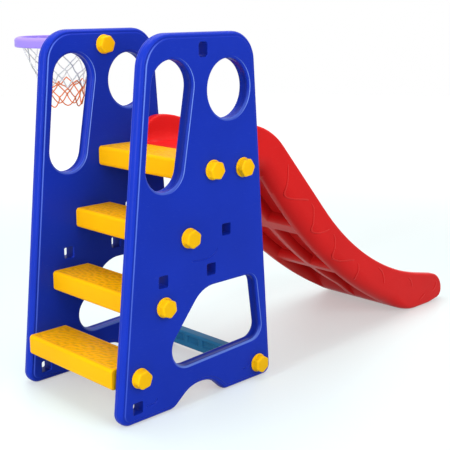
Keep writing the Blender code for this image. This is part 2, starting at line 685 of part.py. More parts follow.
def hexagon_outline(corner_radius, corner_round):
    """A hexagon with rounded corners, three points to a corner."""
    corners = []
    for index in range(6):
        angle = pi / 3 * index
        corners.append((corner_radius * cos(angle), corner_radius * sin(angle)))
    points = []
    set_back = corner_round * tan(pi / 6)
    for index, (x, z) in enumerate(corners):
        before = Vector(corners[index - 1]) - Vector((x, z))
        after = Vector(corners[(index + 1) % 6]) - Vector((x, z))
        start = Vector((x, z)) + before.normalized() * set_back
        stop = Vector((x, z)) + after.normalized() * set_back
        outward = Vector((x, z)).normalized()
        middle = Vector((x, z)) - outward * corner_round * (1 / cos(pi / 6) - 1)
        for point in (start, middle, stop):
            points.append((point.x, point.y, outward.x, outward.y, corner_round))
    return points


def bolt_rings():
    """A bolt along +y: the shank's tip at -SHANK_LENGTH, the flange's seat just above y = 0."""
    seat = FIT_GAP
    flange_top = seat + FLANGE_THICKNESS
    head_top = flange_top + HEAD_HEIGHT
    first = -pi / BOLT_SIDES
    shank = circle_outline(0, 0, SHANK_RADIUS, BOLT_SIDES, first)
    flange = circle_outline(0, 0, FLANGE_RADIUS, BOLT_SIDES, first)
    head = hexagon_outline(HEAD_CORNER_RADIUS, HEAD_CORNER_ROUND)
    tip = seat - SHANK_LENGTH
    return [ring_at(shank, tip, SHANK_TIP_BEVEL), ring_at(shank, tip + SHANK_TIP_BEVEL, 0.0),
            ring_at(shank, seat, 0.0), ring_at(flange, seat, 0.0),
            ring_at(flange, flange_top - FLANGE_EDGE, 0.0), ring_at(flange, flange_top, FLANGE_EDGE),
            ring_at(head, flange_top, 0.0), ring_at(head, head_top - HEAD_EDGE, 0.0),
            ring_at(head, head_top, HEAD_EDGE)]


def make_bolts(finish, root):
    """Six bolts through each panel from outside, and one from inside that holds the hoop."""
    names = [f"step_{i + 1}_bolt" for i in range(STEP_COUNT)] + ["slide_bolt", "brace_bolt"]
    spots = [(f"{side_name}_{name}", (x, side * OUTER_FACE, z), side, turn)
             for side_name, side in (("near", -1), ("far", 1))
             for name, (x, z), turn in zip(names, bolt_places(), BOLT_TURNS)]
    spots.append(("hoop_bolt", (HOOP_SOCKET_X, INNER_FACE, HOOP_SOCKET_Z), -1, BOLT_TURNS[0]))
    for name, spot, side, turn in spots:
        bolt = place(name, mesh_of(name, [bolt_rings()]), spot, finish, root)
        heading = 0.0 if side > 0 else pi
        bolt.rotation_euler = (0.0, radians(turn), heading)


def wall_loop(outline, angle, radius):
    """A loop drawn as (across, height) on an upright plane at a radius and angle about the ring's axis."""
    return [(radius * cos(angle) - across * sin(angle), radius * sin(angle) + across * cos(angle), height)
            for across, height in outline]


def hook_shells():
    """Net hooks inside the ring: a peg that the cord lies over, under a small upright arch."""
    inner = HOOP_RADIUS - HOOP_WIDTH
    peg_top = HOOP_TOP - PEG_DROP
    half_peg = PEG_WIDTH / 2
    peg = [(-half_peg, peg_top - PEG_HEIGHT), (half_peg, peg_top - PEG_HEIGHT), (half_peg, peg_top),
           (-half_peg, peg_top)]
    outer = ARCH_HOOK_WIDTH / 2
    hollow = outer - ARCH_HOOK_BAR
    foot = peg_top + PEG_HEIGHT + NET_CORD
    crown = HOOP_TOP + ARCH_HOOK_RISE - outer
    bends = [pi * step / 4 for step in range(5)]
    arch = [(-outer, foot), (-hollow, foot)]
    arch += [(-hollow * cos(bend), crown + hollow * sin(bend)) for bend in bends]
    arch += [(hollow, foot), (outer, foot)]
    arch += [(outer * cos(bend), crown + outer * sin(bend)) for bend in bends]
    shells = []
    for index in range(NET_COLUMNS):
        angle = 2 * pi * index / NET_COLUMNS
        shells.append([wall_loop(peg, angle, inner + HOOK_ROOT), wall_loop(peg, angle, inner - PEG_LENGTH)])
        shells.append([wall_loop(arch, angle, inner + HOOK_ROOT), wall_loop(arch, angle, inner - ARCH_HOOK_BAR)])
    return shells


def make_hoop(finish, root):
    """The ring with its hooks, and the neck, plate and plug of its bracket."""
    inner = HOOP_RADIUS - HOOP_WIDTH
    low = HOOP_TOP - HOOP_HEIGHT
    edge = HOOP_EDGE
    profile = [(HOOP_RADIUS - edge, low), (HOOP_RADIUS, low + edge), (HOOP_RADIUS, HOOP_TOP - HOOP_BEVEL),
               (HOOP_RADIUS - 2 * edge, HOOP_TOP - HOOP_BEVEL / 2), (inner + edge, HOOP_TOP),
               (inner, HOOP_TOP - edge), (inner, low + edge), (inner + edge, low)]
    rings = []
    for index in range(HOOP_SEGMENTS):
        angle = 2 * pi * (index + 0.5) / HOOP_SEGMENTS
        rings.append([(r * cos(angle), r * sin(angle), z) for r, z in profile])
    spot = (HOOP_SOCKET_X, HOOP_CENTRE_Y, 0)
    hoop = place("hoop", ring_mesh("hoop", rings), spot, finish, root)
    combine(hoop, "hoop_hooks", mesh_of("hoop_hooks", hook_shells()), "UNION")
    plate_low = -HOOP_STAND_OFF + FIT_GAP
    plate_high = plate_low + BRACKET_THICKNESS
    plate = rectangle_outline(0, HOOP_SOCKET_Z - BRACKET_DROP, BRACKET_WIDTH, BRACKET_HEIGHT, BRACKET_ROUND)
    socket_gap = 2 * FIT_GAP
    plug = rectangle_outline(0, HOOP_SOCKET_Z, HOOP_SOCKET_WIDTH - socket_gap, HOOP_SOCKET_HEIGHT - socket_gap,
                             HOOP_SOCKET_ROUND - FIT_GAP)
    neck_end = -HOOP_RADIUS + HOOP_WIDTH / 2
    ring_middle = HOOP_TOP - HOOP_HEIGHT / 2
    neck_z = HOOP_SOCKET_Z - NECK_DROP
    sections = ((plate_high - JOIN_DEPTH, NECK_WIDTH, NECK_HEIGHT, neck_z),
                (plate_high + NECK_STRAIGHT, NECK_WIDTH, NECK_HEIGHT, neck_z),
                (neck_end, NECK_END_WIDTH, NECK_END_HEIGHT, ring_middle))
    neck = [ring_at(rectangle_outline(0, z, width, height, NECK_ROUND), y, 0.0) for y, width, height, z in sections]
    combine(hoop, "hoop_neck", mesh_of("hoop_neck", [neck]), "UNION")
    plate_rings = [ring_at(plate, plate_low, 0.0), ring_at(plate, plate_high, 0.0)]
    combine(hoop, "hoop_plate", mesh_of("hoop_plate", [plate_rings]), "UNION")
    start = -HOOP_STAND_OFF - PANEL_THICKNESS
    plug_rings = [ring_at(plug, start, 0.0), ring_at(plug, plate_low + JOIN_DEPTH, 0.0)]
    combine(hoop, "hoop_plug", mesh_of("hoop_plug", [plug_rings]), "UNION")
    bore = bore_rings(0, HOOP_SOCKET_Z, start - TOOL_PAST, start + HOOP_BOLT_REACH)
    combine(hoop, "hoop_bore", mesh_of("hoop_bore", [bore]), "DIFFERENCE")


def make_net(finish, root):
    """The hoop's net: a knotted lattice of cord that hangs over the pegs and narrows downwards."""
    bm = bmesh.new()
    turn = 2 * pi / NET_COLUMNS
    peg_top = HOOP_TOP - PEG_DROP
    loop_height = peg_top + NET_CORD / 2 + FIT_GAP
    loop_radius = HOOP_RADIUS - HOOP_WIDTH - PEG_LENGTH / 2
    half_span = NET_LOOP_SPAN / 2

    def point(radius, column, height, aside=0.0):
        angle = column * turn
        x = radius * cos(angle) - aside * sin(angle)
        y = radius * sin(angle) + aside * cos(angle)
        return bm.verts.new((x, y, height))

    hooks = [(point(loop_radius, i, loop_height, -half_span), point(loop_radius, i, loop_height, half_span))
             for i in range(NET_COLUMNS)]
    levels = []
    for row, (height, radius) in enumerate(NET_LEVELS):
        shift = 0.5 if row % 2 == 0 else 0.0
        levels.append([point(radius, i + shift, height) for i in range(NET_COLUMNS)])
    first, second, third, fourth = levels
    drop = NET_LEVELS[3][0] - NET_HEM_HEIGHT
    for i in range(NET_COLUMNS):
        after = (i + 1) % NET_COLUMNS
        bm.faces.new((hooks[i][0], hooks[i][1], first[i], second[i], first[i - 1]))
        bm.faces.new((first[i], second[after], third[i], second[i]))
        bm.faces.new((second[i], third[i], fourth[i], third[i - 1]))
        hem = [point(NET_HEM_RADIUS, i + share, NET_LEVELS[3][0] - drop * (1 - (2 * share - 1) ** 2))
               for share in (0.25, 0.50, 0.75)]
        bm.faces.new((third[i], fourth[after], hem[2], hem[1], hem[0], fourth[i]))
    bmesh.ops.recalc_face_normals(bm, faces=bm.faces)
    mesh = bpy.data.meshes.new("hoop_net")
    bm.to_mesh(mesh)
    bm.free()
    net = place("hoop_net", mesh, (HOOP_SOCKET_X, HOOP_CENTRE_Y, 0), finish, root)
    cord = net.modifiers.new("cord", "WIREFRAME")
    cord.thickness = NET_CORD
    cord.use_boundary = True
    cord.use_replace = True
    cord.use_even_offset = False


def main():
    for old in list(bpy.data.objects):
        bpy.data.objects.remove(old, do_unlink=True)
    front = foot_reach()
    near = -OUTER_FACE - FIT_GAP - FLANGE_THICKNESS - HEAD_HEIGHT
    far = HOOP_CENTRE_Y + HOOP_RADIUS
    root = bpy.data.objects.new("plan_origin", None)
    bpy.context.scene.collection.objects.link(root)
    root.location = (-(front + slide_nose_x()) / 2, -(near + far) / 2, 0.0)
    make_panels(material("panel_blue", BLUE, 0.35), root)
    yellow = material("plastic_yellow", YELLOW, 0.40)
    make_steps(yellow, root)
    make_slide(material("slide_red", RED, 0.35), root)
    make_brace(material("brace_teal", TEAL, 0.45), root)
    make_hoop(material("hoop_purple", PURPLE, 0.40), root)
    make_net(material("net_orange", ORANGE, 0.85), root)
    make_bolts(yellow, root)
    bpy.context.view_layer.update()


main()
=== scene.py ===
"""Looks of a toddler's climber: two blue panels, yellow steps and bolts, a red slide, a net hoop."""

import bmesh
import bpy
import numpy as np
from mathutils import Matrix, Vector
from mathutils.geometry import tessellate_polygon


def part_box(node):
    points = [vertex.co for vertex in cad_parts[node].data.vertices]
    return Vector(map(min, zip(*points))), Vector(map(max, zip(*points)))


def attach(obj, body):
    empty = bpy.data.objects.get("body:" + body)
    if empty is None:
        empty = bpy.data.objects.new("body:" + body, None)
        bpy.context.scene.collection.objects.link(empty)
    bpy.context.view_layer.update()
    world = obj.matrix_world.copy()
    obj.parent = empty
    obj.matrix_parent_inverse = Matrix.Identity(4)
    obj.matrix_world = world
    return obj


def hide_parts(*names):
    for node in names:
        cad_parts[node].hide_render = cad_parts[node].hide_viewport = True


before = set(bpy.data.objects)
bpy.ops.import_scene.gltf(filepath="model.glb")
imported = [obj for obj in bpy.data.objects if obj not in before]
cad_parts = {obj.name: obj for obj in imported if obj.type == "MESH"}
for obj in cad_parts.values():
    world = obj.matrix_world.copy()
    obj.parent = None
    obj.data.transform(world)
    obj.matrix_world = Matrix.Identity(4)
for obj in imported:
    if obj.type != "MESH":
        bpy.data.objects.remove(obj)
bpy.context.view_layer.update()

# Side panels
# Two hollow blow-moulded plates of blue polyethylene, mirror images, 43 mm thick with well rounded
# edges. Their holes are moulded through, and the mould halves meet in a fine seam round the rim.
PANEL_HEIGHT = 1.100
PANEL_HALF = 0.0215
CLEAR_HALF = 0.2067
PANEL_ROUND = 0.0160
STEP_FRONT_OVERHANG = 0.004
FIT = 0.0003
panel_low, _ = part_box("near_side_panel")
_, far_panel_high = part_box("far_side_panel")
step_low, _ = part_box("step_1")
PLAN = np.array((step_low.x + STEP_FRONT_OVERHANG, (panel_low.y + far_panel_high.y) / 2, 0.0))


def rounded_path(corners, facet=np.radians(5), closed=True):
    """Path of straight runs joined by corner arcs, and its normals, to the right of its heading.

    A corner (x, z, radius) becomes centre + side * radius * normal(t), where the normal turns evenly
    from the run before it to the run after it. Straight runs have points at their ends only.
    """
    corners = np.asarray(corners, float)
    before = corners[:, :2] - np.roll(corners[:, :2], 1, 0)
    after = np.roll(before, -1, 0)
    if not closed:
        before[0], after[-1] = after[0], before[-1]
    points, normals = [], []
    for here, radius, came, goes in zip(corners[:, :2], corners[:, 2], before, after):
        start = np.arctan2(came[1], came[0])
        turn = (np.arctan2(goes[1], goes[0]) - start + np.pi) % (2 * np.pi) - np.pi
        side = np.sign(turn)
        heading = start + turn * np.linspace(0, 1, max(3, int(np.ceil(abs(turn) / facet)) + 1))
        normal = np.stack([np.sin(heading), -np.cos(heading)], 1)
        centre = here - came / np.hypot(*came) * radius * np.tan(abs(turn) / 2) - side * radius * normal[0]
        points.append(centre + side * radius * normal)
        normals.append(normal)
    return np.concatenate(points), np.concatenate(normals)


def round_angles(count):
    """Even angles once round, without the last that would meet the first."""
    return np.linspace(0, 2 * np.pi, count, endpoint=False)


def oval_path(x, z, half_width, half_height, count=72):
    """An ellipse (half_width cos t, half_height sin t) and its outward normals."""
    angle = round_angles(count)
    circle = np.stack([np.cos(angle), np.sin(angle)], 1)
    normals = circle * (half_height, half_width)
    return np.array((x, z)) + circle * (half_width, half_height), normals / np.hypot(*normals.T)[:, None]


def stadium_path(high, low, count=28):
    """Path round two unlike circles (x, z, radius), the high one first: two arcs and their tangents."""
    away = np.subtract(high[:2], low[:2])
    lean = np.arctan2(away[1], away[0])
    opening = np.arccos((low[2] - high[2]) / np.hypot(*away))
    angles = [lean + np.linspace(-opening, opening, count),
              lean + np.linspace(opening, 2 * np.pi - opening, count)]
    normals = [np.stack([np.cos(a), np.sin(a)], 1) for a in angles]
    points = [np.array(circle[:2]) + circle[2] * n for circle, n in zip((high, low), normals)]
    return np.concatenate(points), np.concatenate(normals)


def carry(path, profile):
    """A profile carried round a path: each (inset, depth) gives a loop of path - normal * inset."""
    points, normals = path
    profile = np.asarray(profile, float)
    flat = points[None] - normals[None] * profile[:, None, :1]
    depth = np.broadcast_to(profile[:, None, 1:], flat[..., :1].shape)
    return np.concatenate([flat[..., :1], depth, flat[..., 1:]], 2)


def grid_faces(rows, columns, first=0, close_rows=False, close_columns=True):
    """Quads between the neighbours of a grid of points numbered row by row."""
    row = np.arange(rows if close_rows else rows - 1)[:, None]
    column = np.arange(columns if close_columns else columns - 1)[None]
    after_row, after_column = (row + 1) % rows, (column + 1) % columns
    corners = (row * columns + column, row * columns + after_column,
               after_row * columns + after_column, after_row * columns + column)
    return first + np.stack(corners, -1).reshape(-1, 4)


class Shell:
    """Grids and flat fills gathered into one mesh; each flat fill spans an edge loop and its holes."""

    def __init__(self):
        self.points, self.faces, self.count = [], [], 0

    def grid(self, points, close_rows=False, close_columns=True):
        """Adds a grid of points and returns the point numbers of each of its rows."""
        rows, columns = points.shape[:2]
        self.points.append(points.reshape(-1, 3))
        self.faces += grid_faces(rows, columns, self.count, close_rows, close_columns).tolist()
        numbers = self.count + np.arange(rows * columns).reshape(rows, columns)
        self.count += rows * columns
        return numbers

    def closed(self, rings):
        """Adds a grid of rings and closes its first and last ring with flat faces."""
        rows = self.grid(rings)
        self.fill(rows[0])
        self.fill(rows[-1])
        return rows

    def fill(self, *loops):
        """Closes a flat face between loops of point numbers, the outer one first."""
        points = np.concatenate(self.points)
        numbers = np.concatenate(loops)
        spread = [[Vector(p) for p in points[loop]] for loop in loops]
        self.faces += [[int(numbers[i]) for i in triangle] for triangle in tessellate_polygon(spread)]

    def piece(self, node, finish, slot, at=(0, 0, 0), body="climber", name=None, **marks):
        """Makes the object for a node: at a spot of the plan, seams joined, faces outwards.

        Each mark is an attribute by its name, given as the arrays of its values in the points' order.
        """
        name = name or f"{node}_skin"
        mesh = bpy.data.meshes.new(name)
        mesh.from_pydata((np.concatenate(self.points) + at + PLAN).tolist(), [], self.faces)
        for mark, values in marks.items():
            mesh.attributes.new(mark, "FLOAT", "POINT").data.foreach_set("value", np.concatenate(values))
        shape = bmesh.new()
        shape.from_mesh(mesh)
        bmesh.ops.remove_doubles(shape, verts=shape.verts, dist=1e-6)
        bmesh.ops.recalc_face_normals(shape, faces=shape.faces)
        shape.to_mesh(mesh)
        shape.free()
        mesh.shade_smooth()
        mesh.set_sharp_from_angle(angle=np.radians(40))
        mesh.materials.append(finish)
        made = placed(name, mesh)
        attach(made, body)
        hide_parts(node)


def placed(name, data):
    """An object in the scene for a mesh, a lamp or a camera."""
    made = bpy.data.objects.new(name, data)
    bpy.context.scene.collection.objects.link(made)
    return made


def quarter(radius, steps=6):
    """Profile of a rounded edge: (radius, 0) on the face, round to (0, radius) on the side."""
    angle = np.linspace(0, np.pi / 2, steps + 1)
    return radius * np.stack([1 - np.sin(angle), 1 - np.cos(angle)], 1)


def feed(tree, socket, value):
    """Links a socket to another node's output, or sets it to a plain value."""
    if isinstance(value, bpy.types.NodeSocket):
        tree.links.new(value, socket)
    else:
        socket.default_value = value


def output(tree, kind, *fed, out=0, **values):
    """Makes a shader node and gives one of its outputs.

    What is fed goes to its inputs in their order, and the values are its settings or inputs by name.
    """
    node = tree.nodes.new("ShaderNode" + kind)
    for key, value in values.items():
        if hasattr(node, key):
            setattr(node, key, value)
        else:
            feed(tree, node.inputs[key.replace("_", " ")], value)
    for socket, value in zip(node.inputs, fed):
        feed(tree, socket, value)
    return node.outputs[out]


def maths(tree, operation, *fed):
    """The result of one Math node, by the name of its operation."""
    return output(tree, "Math", *fed, operation=operation)


def mixed(tree, factor, a, b):
    """Colour a where the factor is 0, b where it is 1."""
    return output(tree, "Mix", data_type="RGBA", out="Result", Factor=factor, A=a, B=b)


def moulded_skin():
    """Skin of moulded polyethylene: soft mottling, orange peel, fine grain and faint scuffs.

    A point attribute paints light into the colour: paler for a painted highlight where it is above 0, and
    deeper for painted shade where it is below.
    """
    tree = bpy.data.node_groups.new("moulded_skin", "ShaderNodeTree")
    for way, names in (("INPUT", ("Colour", "Pale", "Scuffs", "Roughness")),
                       ("OUTPUT", ("Colour", "Roughness", "Height"))):
        for name in names:
            kind = "NodeSocketColor" if name in ("Colour", "Pale") else "NodeSocketFloat"
            tree.interface.new_socket(name, in_out=way, socket_type=kind)
    given, made = tree.nodes.new("NodeGroupInput").outputs, tree.nodes.new("NodeGroupOutput").inputs
    place = output(tree, "TexCoord", out="Object")
    tone = output(tree, "Attribute", attribute_name="tone", out="Fac")
    mottle = output(tree, "TexNoise", place, Scale=5.0, Detail=3.0)
    shade = output(tree, "MapRange", mottle, From_Min=0.30, From_Max=0.70, To_Min=0.94, To_Max=1.04)
    # Painted shade: the random mottle made deeper where the point attribute is below 0
    deeper = maths(tree, "ADD", shade, maths(tree, "MINIMUM", tone, 0.0))
    dimmed = output(tree, "VectorMath", given["Colour"], operation="SCALE", Scale=deeper)
    streaks = output(tree, "Mapping", place, Scale=(9.0, 60.0, 60.0), Rotation=(0.3, 0.5, 0.2))
    scratch = output(tree, "TexNoise", streaks, Scale=6.0, Detail=5.0)
    wear_and_highlight = output(tree, "MapRange", scratch, From_Min=0.60, From_Max=0.78)
    scuffed = maths(tree, "MULTIPLY", wear_and_highlight, given["Scuffs"])
    # Paler where scuffed, which is real wear, and a painted highlight where the point attribute is above 0
    pale = maths(tree, "MAXIMUM", scuffed, tone)
    peel = output(tree, "TexNoise", place, Scale=160.0, Detail=2.0)
    grain = output(tree, "TexNoise", place, Scale=1400.0, Detail=1.0)
    feed(tree, made["Colour"], mixed(tree, pale, dimmed, given["Pale"]))
    feed(tree, made["Roughness"], maths(tree, "MULTIPLY_ADD", scuffed, 0.5, given["Roughness"]))
    feed(tree, made["Height"], maths(tree, "MULTIPLY_ADD", grain, 0.12, peel))
    return tree


MOULDED_SKIN = moulded_skin()


def new_finish(name):
    """A new material, its node tree, and the inputs of its shader."""
    finish = bpy.data.materials.new(name)
    finish.use_nodes = True
    return finish, finish.node_tree, finish.node_tree.nodes["Principled BSDF"].inputs


def moulded_plastic(name, colour, pale, roughness, scuffs, relief=0.25):
    """A plastic finish: the moulded skin in its own colour, with a faint clear sheen."""
    finish, tree, shader = new_finish(name)
    skin = tree.nodes.new("ShaderNodeGroup")
    skin.node_tree = MOULDED_SKIN
    for socket, value in zip(skin.inputs, ((*colour, 1), (*pale, 1), scuffs, roughness)):
        socket.default_value = value
    shader["Specular IOR Level"].default_value = 0.06
    feed(tree, shader["Base Color"], skin.outputs["Colour"])
    feed(tree, shader["Roughness"], skin.outputs["Roughness"])
    feed(tree, shader["Normal"], output(tree, "Bump", Strength=relief, Distance=0.0006,
                                        Height=skin.outputs["Height"]))
    return finish


PANEL_BLUE = moulded_plastic("panel_blue", (0.0090, 0.0330, 0.4480), (0.30, 0.48, 1.0), 0.30, 0.03)
PANEL_EDGE = [(-0.010, 0.0, 0.038), (0.199, 0.0, 0.050), (0.268, 0.054, 0.100), (0.352, 0.054, 0.100),
              (0.409, 0.0, 0.025), (0.619, 0.0, 0.030), (0.528, PANEL_HEIGHT, 0.090),
              (0.106, PANEL_HEIGHT, 0.100)]
HAND_HOLE = ((0.2036, 0.954, 0.0745), (0.1719, 0.729, 0.067))
PORTHOLE = (0.4215, 0.9365, 0.0825, 0.0875)
LOWER_OPENING = [(0.1205, 0.119, 0.060), (0.5696, 0.138, 0.042), (0.5367, 0.354, 0.040),
                 (0.3156, 0.354, 0.100)]
SQUARE_SOCKETS = ((0.412, 0.517), (0.349, 0.405), (0.160, 0.404), (0.057, 0.049))
SOCKET_SIZE, SOCKET_ROUND = 0.036, 0.005
HOOP_SOCKET = (0.320, 1.052)
HOOP_SOCKET_SIZE = (0.034, 0.042, 0.010)
BOLT_X = 0.0645 + 0.097 * np.arange(4)
BOLT_Z = 0.140 + 0.1883 * np.arange(4)
SLIDE_BOLT = (0.480, 0.6979)
BRACE_BOLT = (0.5525, 0.052)
BOLTS = [*zip(BOLT_X, BOLT_Z), SLIDE_BOLT, BRACE_BOLT]
BORE = 0.0124
SOCKET_LIP, BORE_LIP = 0.002, 0.0004
# Profiles from a face towards mid thickness, as inset, depth under the face, and the strength of a painted
# highlight
RIM = [(0.0195, 0, 0), (0.0168, 0, 0), (0.0158, 0.0003, 0.4), (0.0142, 0.0022, 0.4), (0.0135, 0.0030, 0),
       (0.0124, 0.0034, 0), (0.0106, 0.0031, 0), (0.0086, 0.0024, 0)]
SEAM = [(0.0003, -0.0010), (0.0, -0.0005), (0.0, 0.0005), (0.0003, 0.0010)]
LARGE_LIP = [(0.0088, 0, 0), (0.0077, 0, 0), (0.0073, 0.0001, 1), (0.0064, 0.0018, 1), (0.0060, 0.0020, 0.3),
             *((i, d + 0.0020, 0.40) for i, d in quarter(0.0055, 6)[1:-1]), (0, 0.0078, 0), (0, 0.0092, 0),
             (-0.0004, 0.0098, 0.3), (0, 0.0104, 0)]
# How strong the painted highlight on a hole's lip is where it faces the lamp at the steps' side, and where it
# faces up
HOLE_PAINTED_HIGHLIGHTS, OPENING_PAINTED_HIGHLIGHTS = (0.60, 0.5), (0.45, 1.0)
# Short marks pressed into the outer face
MARKS = [[(0.089, 0.045), (0.108, 0.0445), (0.120, 0.046), (0.127, 0.055)],
         [(0.486, 0.048), (0.497, 0.0455), (0.506, 0.047), (0.513, 0.057)],
         [(0.274, 0.443), (0.314, 0.4385), (0.347, 0.4405), (0.363, 0.449), (0.372, 0.463)]]
MARK_WIDTH, MARK_DEPTH = 0.0050, 0.0022


def ramp(value, low, high):
    """0 below low, 1 above high, and an even S between them."""
    share = np.clip((value - low) / (high - low), 0, 1)
    return share * share * (3 - 2 * share)


def box_path(x, z, width, height, radius):
    """A rounded rectangle about a centre."""
    w, h = width / 2, height / 2
    return rounded_path([(x - w, z - h, radius), (x + w, z - h, radius), (x + w, z + h, radius),
                         (x - w, z + h, radius)], np.radians(15))


def stroke_path(points, width):
    """The outline of a broad line with round ends: both sides of its points, then half circles."""
    points = np.asarray(points, float)
    along = np.gradient(points, axis=0)
    along /= np.hypot(*along.T)[:, None]
    side = np.stack([along[:, 1], -along[:, 0]], 1)
    turn = np.linspace(0, np.pi, 7)[1:-1, None]
    tip = np.cos(turn) * side[-1] + np.sin(turn) * along[-1]
    tail = -np.cos(turn) * side[0] - np.sin(turn) * along[0]
    normals = np.concatenate([side, tip, -side[::-1], tail])
    last, first = (np.repeat(end, len(turn), 0) for end in (points[-1:], points[:1]))
    middles = np.concatenate([points, last, points[::-1], first])
    return middles + normals * width / 2, normals


def panel(node, side):
    """One panel: the profiles of its rim and of each hole carried round, and two flat faces.

    The rim has a crisp groove, a round, the seam at mid thickness, and the same again on the inner face.
    A large hole's lip is a small step and a round, with a line inside. A painted highlight makes the rim's
    groove and the lips pale where they face the lamp at the steps' side or face up.
    """
    half = PANEL_HALF
    side_line = RIM + [(i, d, 0) for i, d in quarter(PANEL_ROUND, 12)[5:] + (0.0003, 0)]
    profile = [(i, d - half) for i, d, _ in side_line] + SEAM + [(i, half - d) for i, d, _ in side_line[::-1]]
    tones = [tone for *_, tone in side_line]
    shell = Shell()
    edge, normals = rounded_path(PANEL_EDGE)
    rim = shell.grid(carry((edge, normals), profile))
    # Painted highlight on the rim's groove wall where it faces the lamp at the steps' side, stronger higher
    # up
    toward_steps = np.clip(-normals[:, 0], 0, 1) ** 2 * (0.25 + 0.75 * ramp(edge[:, 1], 0.3, 0.9))
    tone = [np.outer(tones + [0] * len(SEAM) + tones[::-1], toward_steps).ravel()]
    outside, inside = [rim[0]], [rim[-1]]
    small = [(box_path(*spot, SOCKET_SIZE, SOCKET_SIZE, SOCKET_ROUND), SOCKET_LIP)
             for spot in SQUARE_SOCKETS]
    small += [(box_path(*HOOP_SOCKET, *HOOP_SOCKET_SIZE), SOCKET_LIP)]
    small += [(oval_path(*spot, BORE, BORE, 24), BORE_LIP) for spot in BOLTS]
    through = [(stadium_path(*HAND_HOLE), LARGE_LIP, HOLE_PAINTED_HIGHLIGHTS),
               (oval_path(*PORTHOLE), LARGE_LIP, HOLE_PAINTED_HIGHLIGHTS),
               (rounded_path(LOWER_OPENING), LARGE_LIP, OPENING_PAINTED_HIGHLIGHTS)]
    through += [(path, [(lip + 0.0012, 0, 0), *((i, d, 0) for i, d in quarter(lip, 5))], HOLE_PAINTED_HIGHLIGHTS)
                for path, lip in small]
    for path, lips, (wear_and_highlight, lit) in through:
        rows = shell.grid(carry(path, [(-i, d - half) for i, d, _ in lips]
                                + [(-i, half - d) for i, d, _ in lips[::-1]]))
        tones = np.array([tone for *_, tone in lips + lips[::-1]])[:, None]
        # Painted highlight on the lips: the step wall where it faces the lamp at the steps' side, the rest
        # where it faces up
        toward_steps, upward = np.clip(path[1][:, 0], 0, 1) ** 1.5, np.clip(-path[1][:, 1], 0, 1)
        tone.append(np.where(tones >= 0.5, tones * wear_and_highlight * toward_steps, tones * lit * upward).ravel())
        outside.append(rows[0])
        inside.append(rows[-1])
    groove = [(-0.0020, -half), (-0.0012, -half), (0.0, 0.0010 - half), (0.0012, MARK_DEPTH - half)]
    for mark in MARKS:
        rows = shell.grid(carry(stroke_path(mark, MARK_WIDTH), groove))
        tone.append(np.zeros(rows.size))
        outside.append(rows[0])
        shell.fill(rows[-1])
    shell.fill(*outside)
    shell.fill(*inside)
    shell.points = [block * (1, -side, 1) + (0, side * (CLEAR_HALF + half), 0) for block in shell.points]
    shell.piece(node, PANEL_BLUE, "panel", tone=tone)


panel("near_side_panel", -1)
panel("far_side_panel", 1)


# Steps
# Four like treads of yellow polyethylene between the panels, the top one a small platform. Each has a
# sunk, pebbled non-slip field inside a smooth border, and a blind bore in both ends for its bolts.
STEP_YELLOW = moulded_plastic("step_yellow", (0.9740, 0.4700, 0.0010), (1.0, 0.62, 0.10), 0.40, 0.10)
HALF_WIDTH = CLEAR_HALF - FIT
STEP_FRONT, STEP_BACK = -0.0685, 0.0755
STEP_BOTTOM, TREAD_TOP = -0.034, 0.029
STEP_ROUND = 0.011
STEP_END_ROUND = 0.004
TREAD_BORDER, TREAD_SINK = 0.013, 0.0016
PEBBLE_SIZE, PEBBLE_HEIGHT, DIMPLE_PAINTED_SHADE = 0.012, 0.0013, 0.20
THREAD_REACH = 0.026


def ripples(x, y, seed, size, count=22):
    """Seeded relief from 0 to 1: waves about a size long in random directions, summed and squashed."""
    dice = np.random.default_rng(seed)
    wave = 2 * np.pi / (size * dice.uniform(0.7, 1.8, count))
    heading = dice.uniform(0, 2 * np.pi, count)
    start = dice.uniform(0, 2 * np.pi, count)
    u, v = wave * np.cos(heading), wave * np.sin(heading)
    total = np.sin(x[..., None] * u + y[..., None] * v + start).sum(-1)
    return 0.5 + 0.5 * np.tanh(total / np.sqrt(count) * 1.8)


def beam_rows(path, places, end_round):
    """A section at places across the width, drawn in at both ends by a quarter round."""
    ends = quarter(end_round, 4)
    inner = np.asarray(places)[(np.abs(places) < HALF_WIDTH - end_round - 1e-4)]
    profile = [(i, d - HALF_WIDTH) for i, d in ends] + [(0, y) for y in inner]
    profile += [(i, HALF_WIDTH - d) for i, d in ends[::-1]]
    return carry(path, profile)


def close_ends(shell, rows, end_path, bore):
    """Flat ends for a beam: a loop just inside the edge, and a blind bore for the bolt."""
    for row, y, way in ((rows[0], -HALF_WIDTH, 1), (rows[-1], HALF_WIDTH, -1)):
        rim = shell.grid(carry(end_path, [(0, y), (0.0015, y)]))
        bore_line = [(-0.0016, y), (-0.0004, y), (0, y + way * 0.0004), (0, y + way * THREAD_REACH)]
        hole = shell.grid(carry(oval_path(*bore, BORE, BORE, 24), bore_line))
        shell.fill(rim[-1], hole[0])
        shell.fill(hole[-1])


def step_path(inset=0.0):
    """A step's section: a rounded box whose top run has a point every 2.4 mm."""
    corners = [(STEP_FRONT + inset, STEP_BOTTOM + inset), (STEP_BACK - inset, STEP_BOTTOM + inset),
               (STEP_BACK - inset, TREAD_TOP - inset), (STEP_FRONT + inset, TREAD_TOP - inset)]
    points, normals = rounded_path([(*corner, STEP_ROUND - inset) for corner in corners], np.radians(11))
    top = np.linspace(STEP_BACK - STEP_ROUND, STEP_FRONT + STEP_ROUND, 52)[1:-1]
    after = int(np.flatnonzero((normals[:, 1] > 0.999) & (points[:, 0] > 0))[-1]) + 1
    run = np.stack([top, np.full_like(top, TREAD_TOP - inset)], 1)
    upward = np.tile((0.0, 1.0), (len(run), 1))
    return np.insert(points, after, run, 0), np.insert(normals, after, upward, 0)


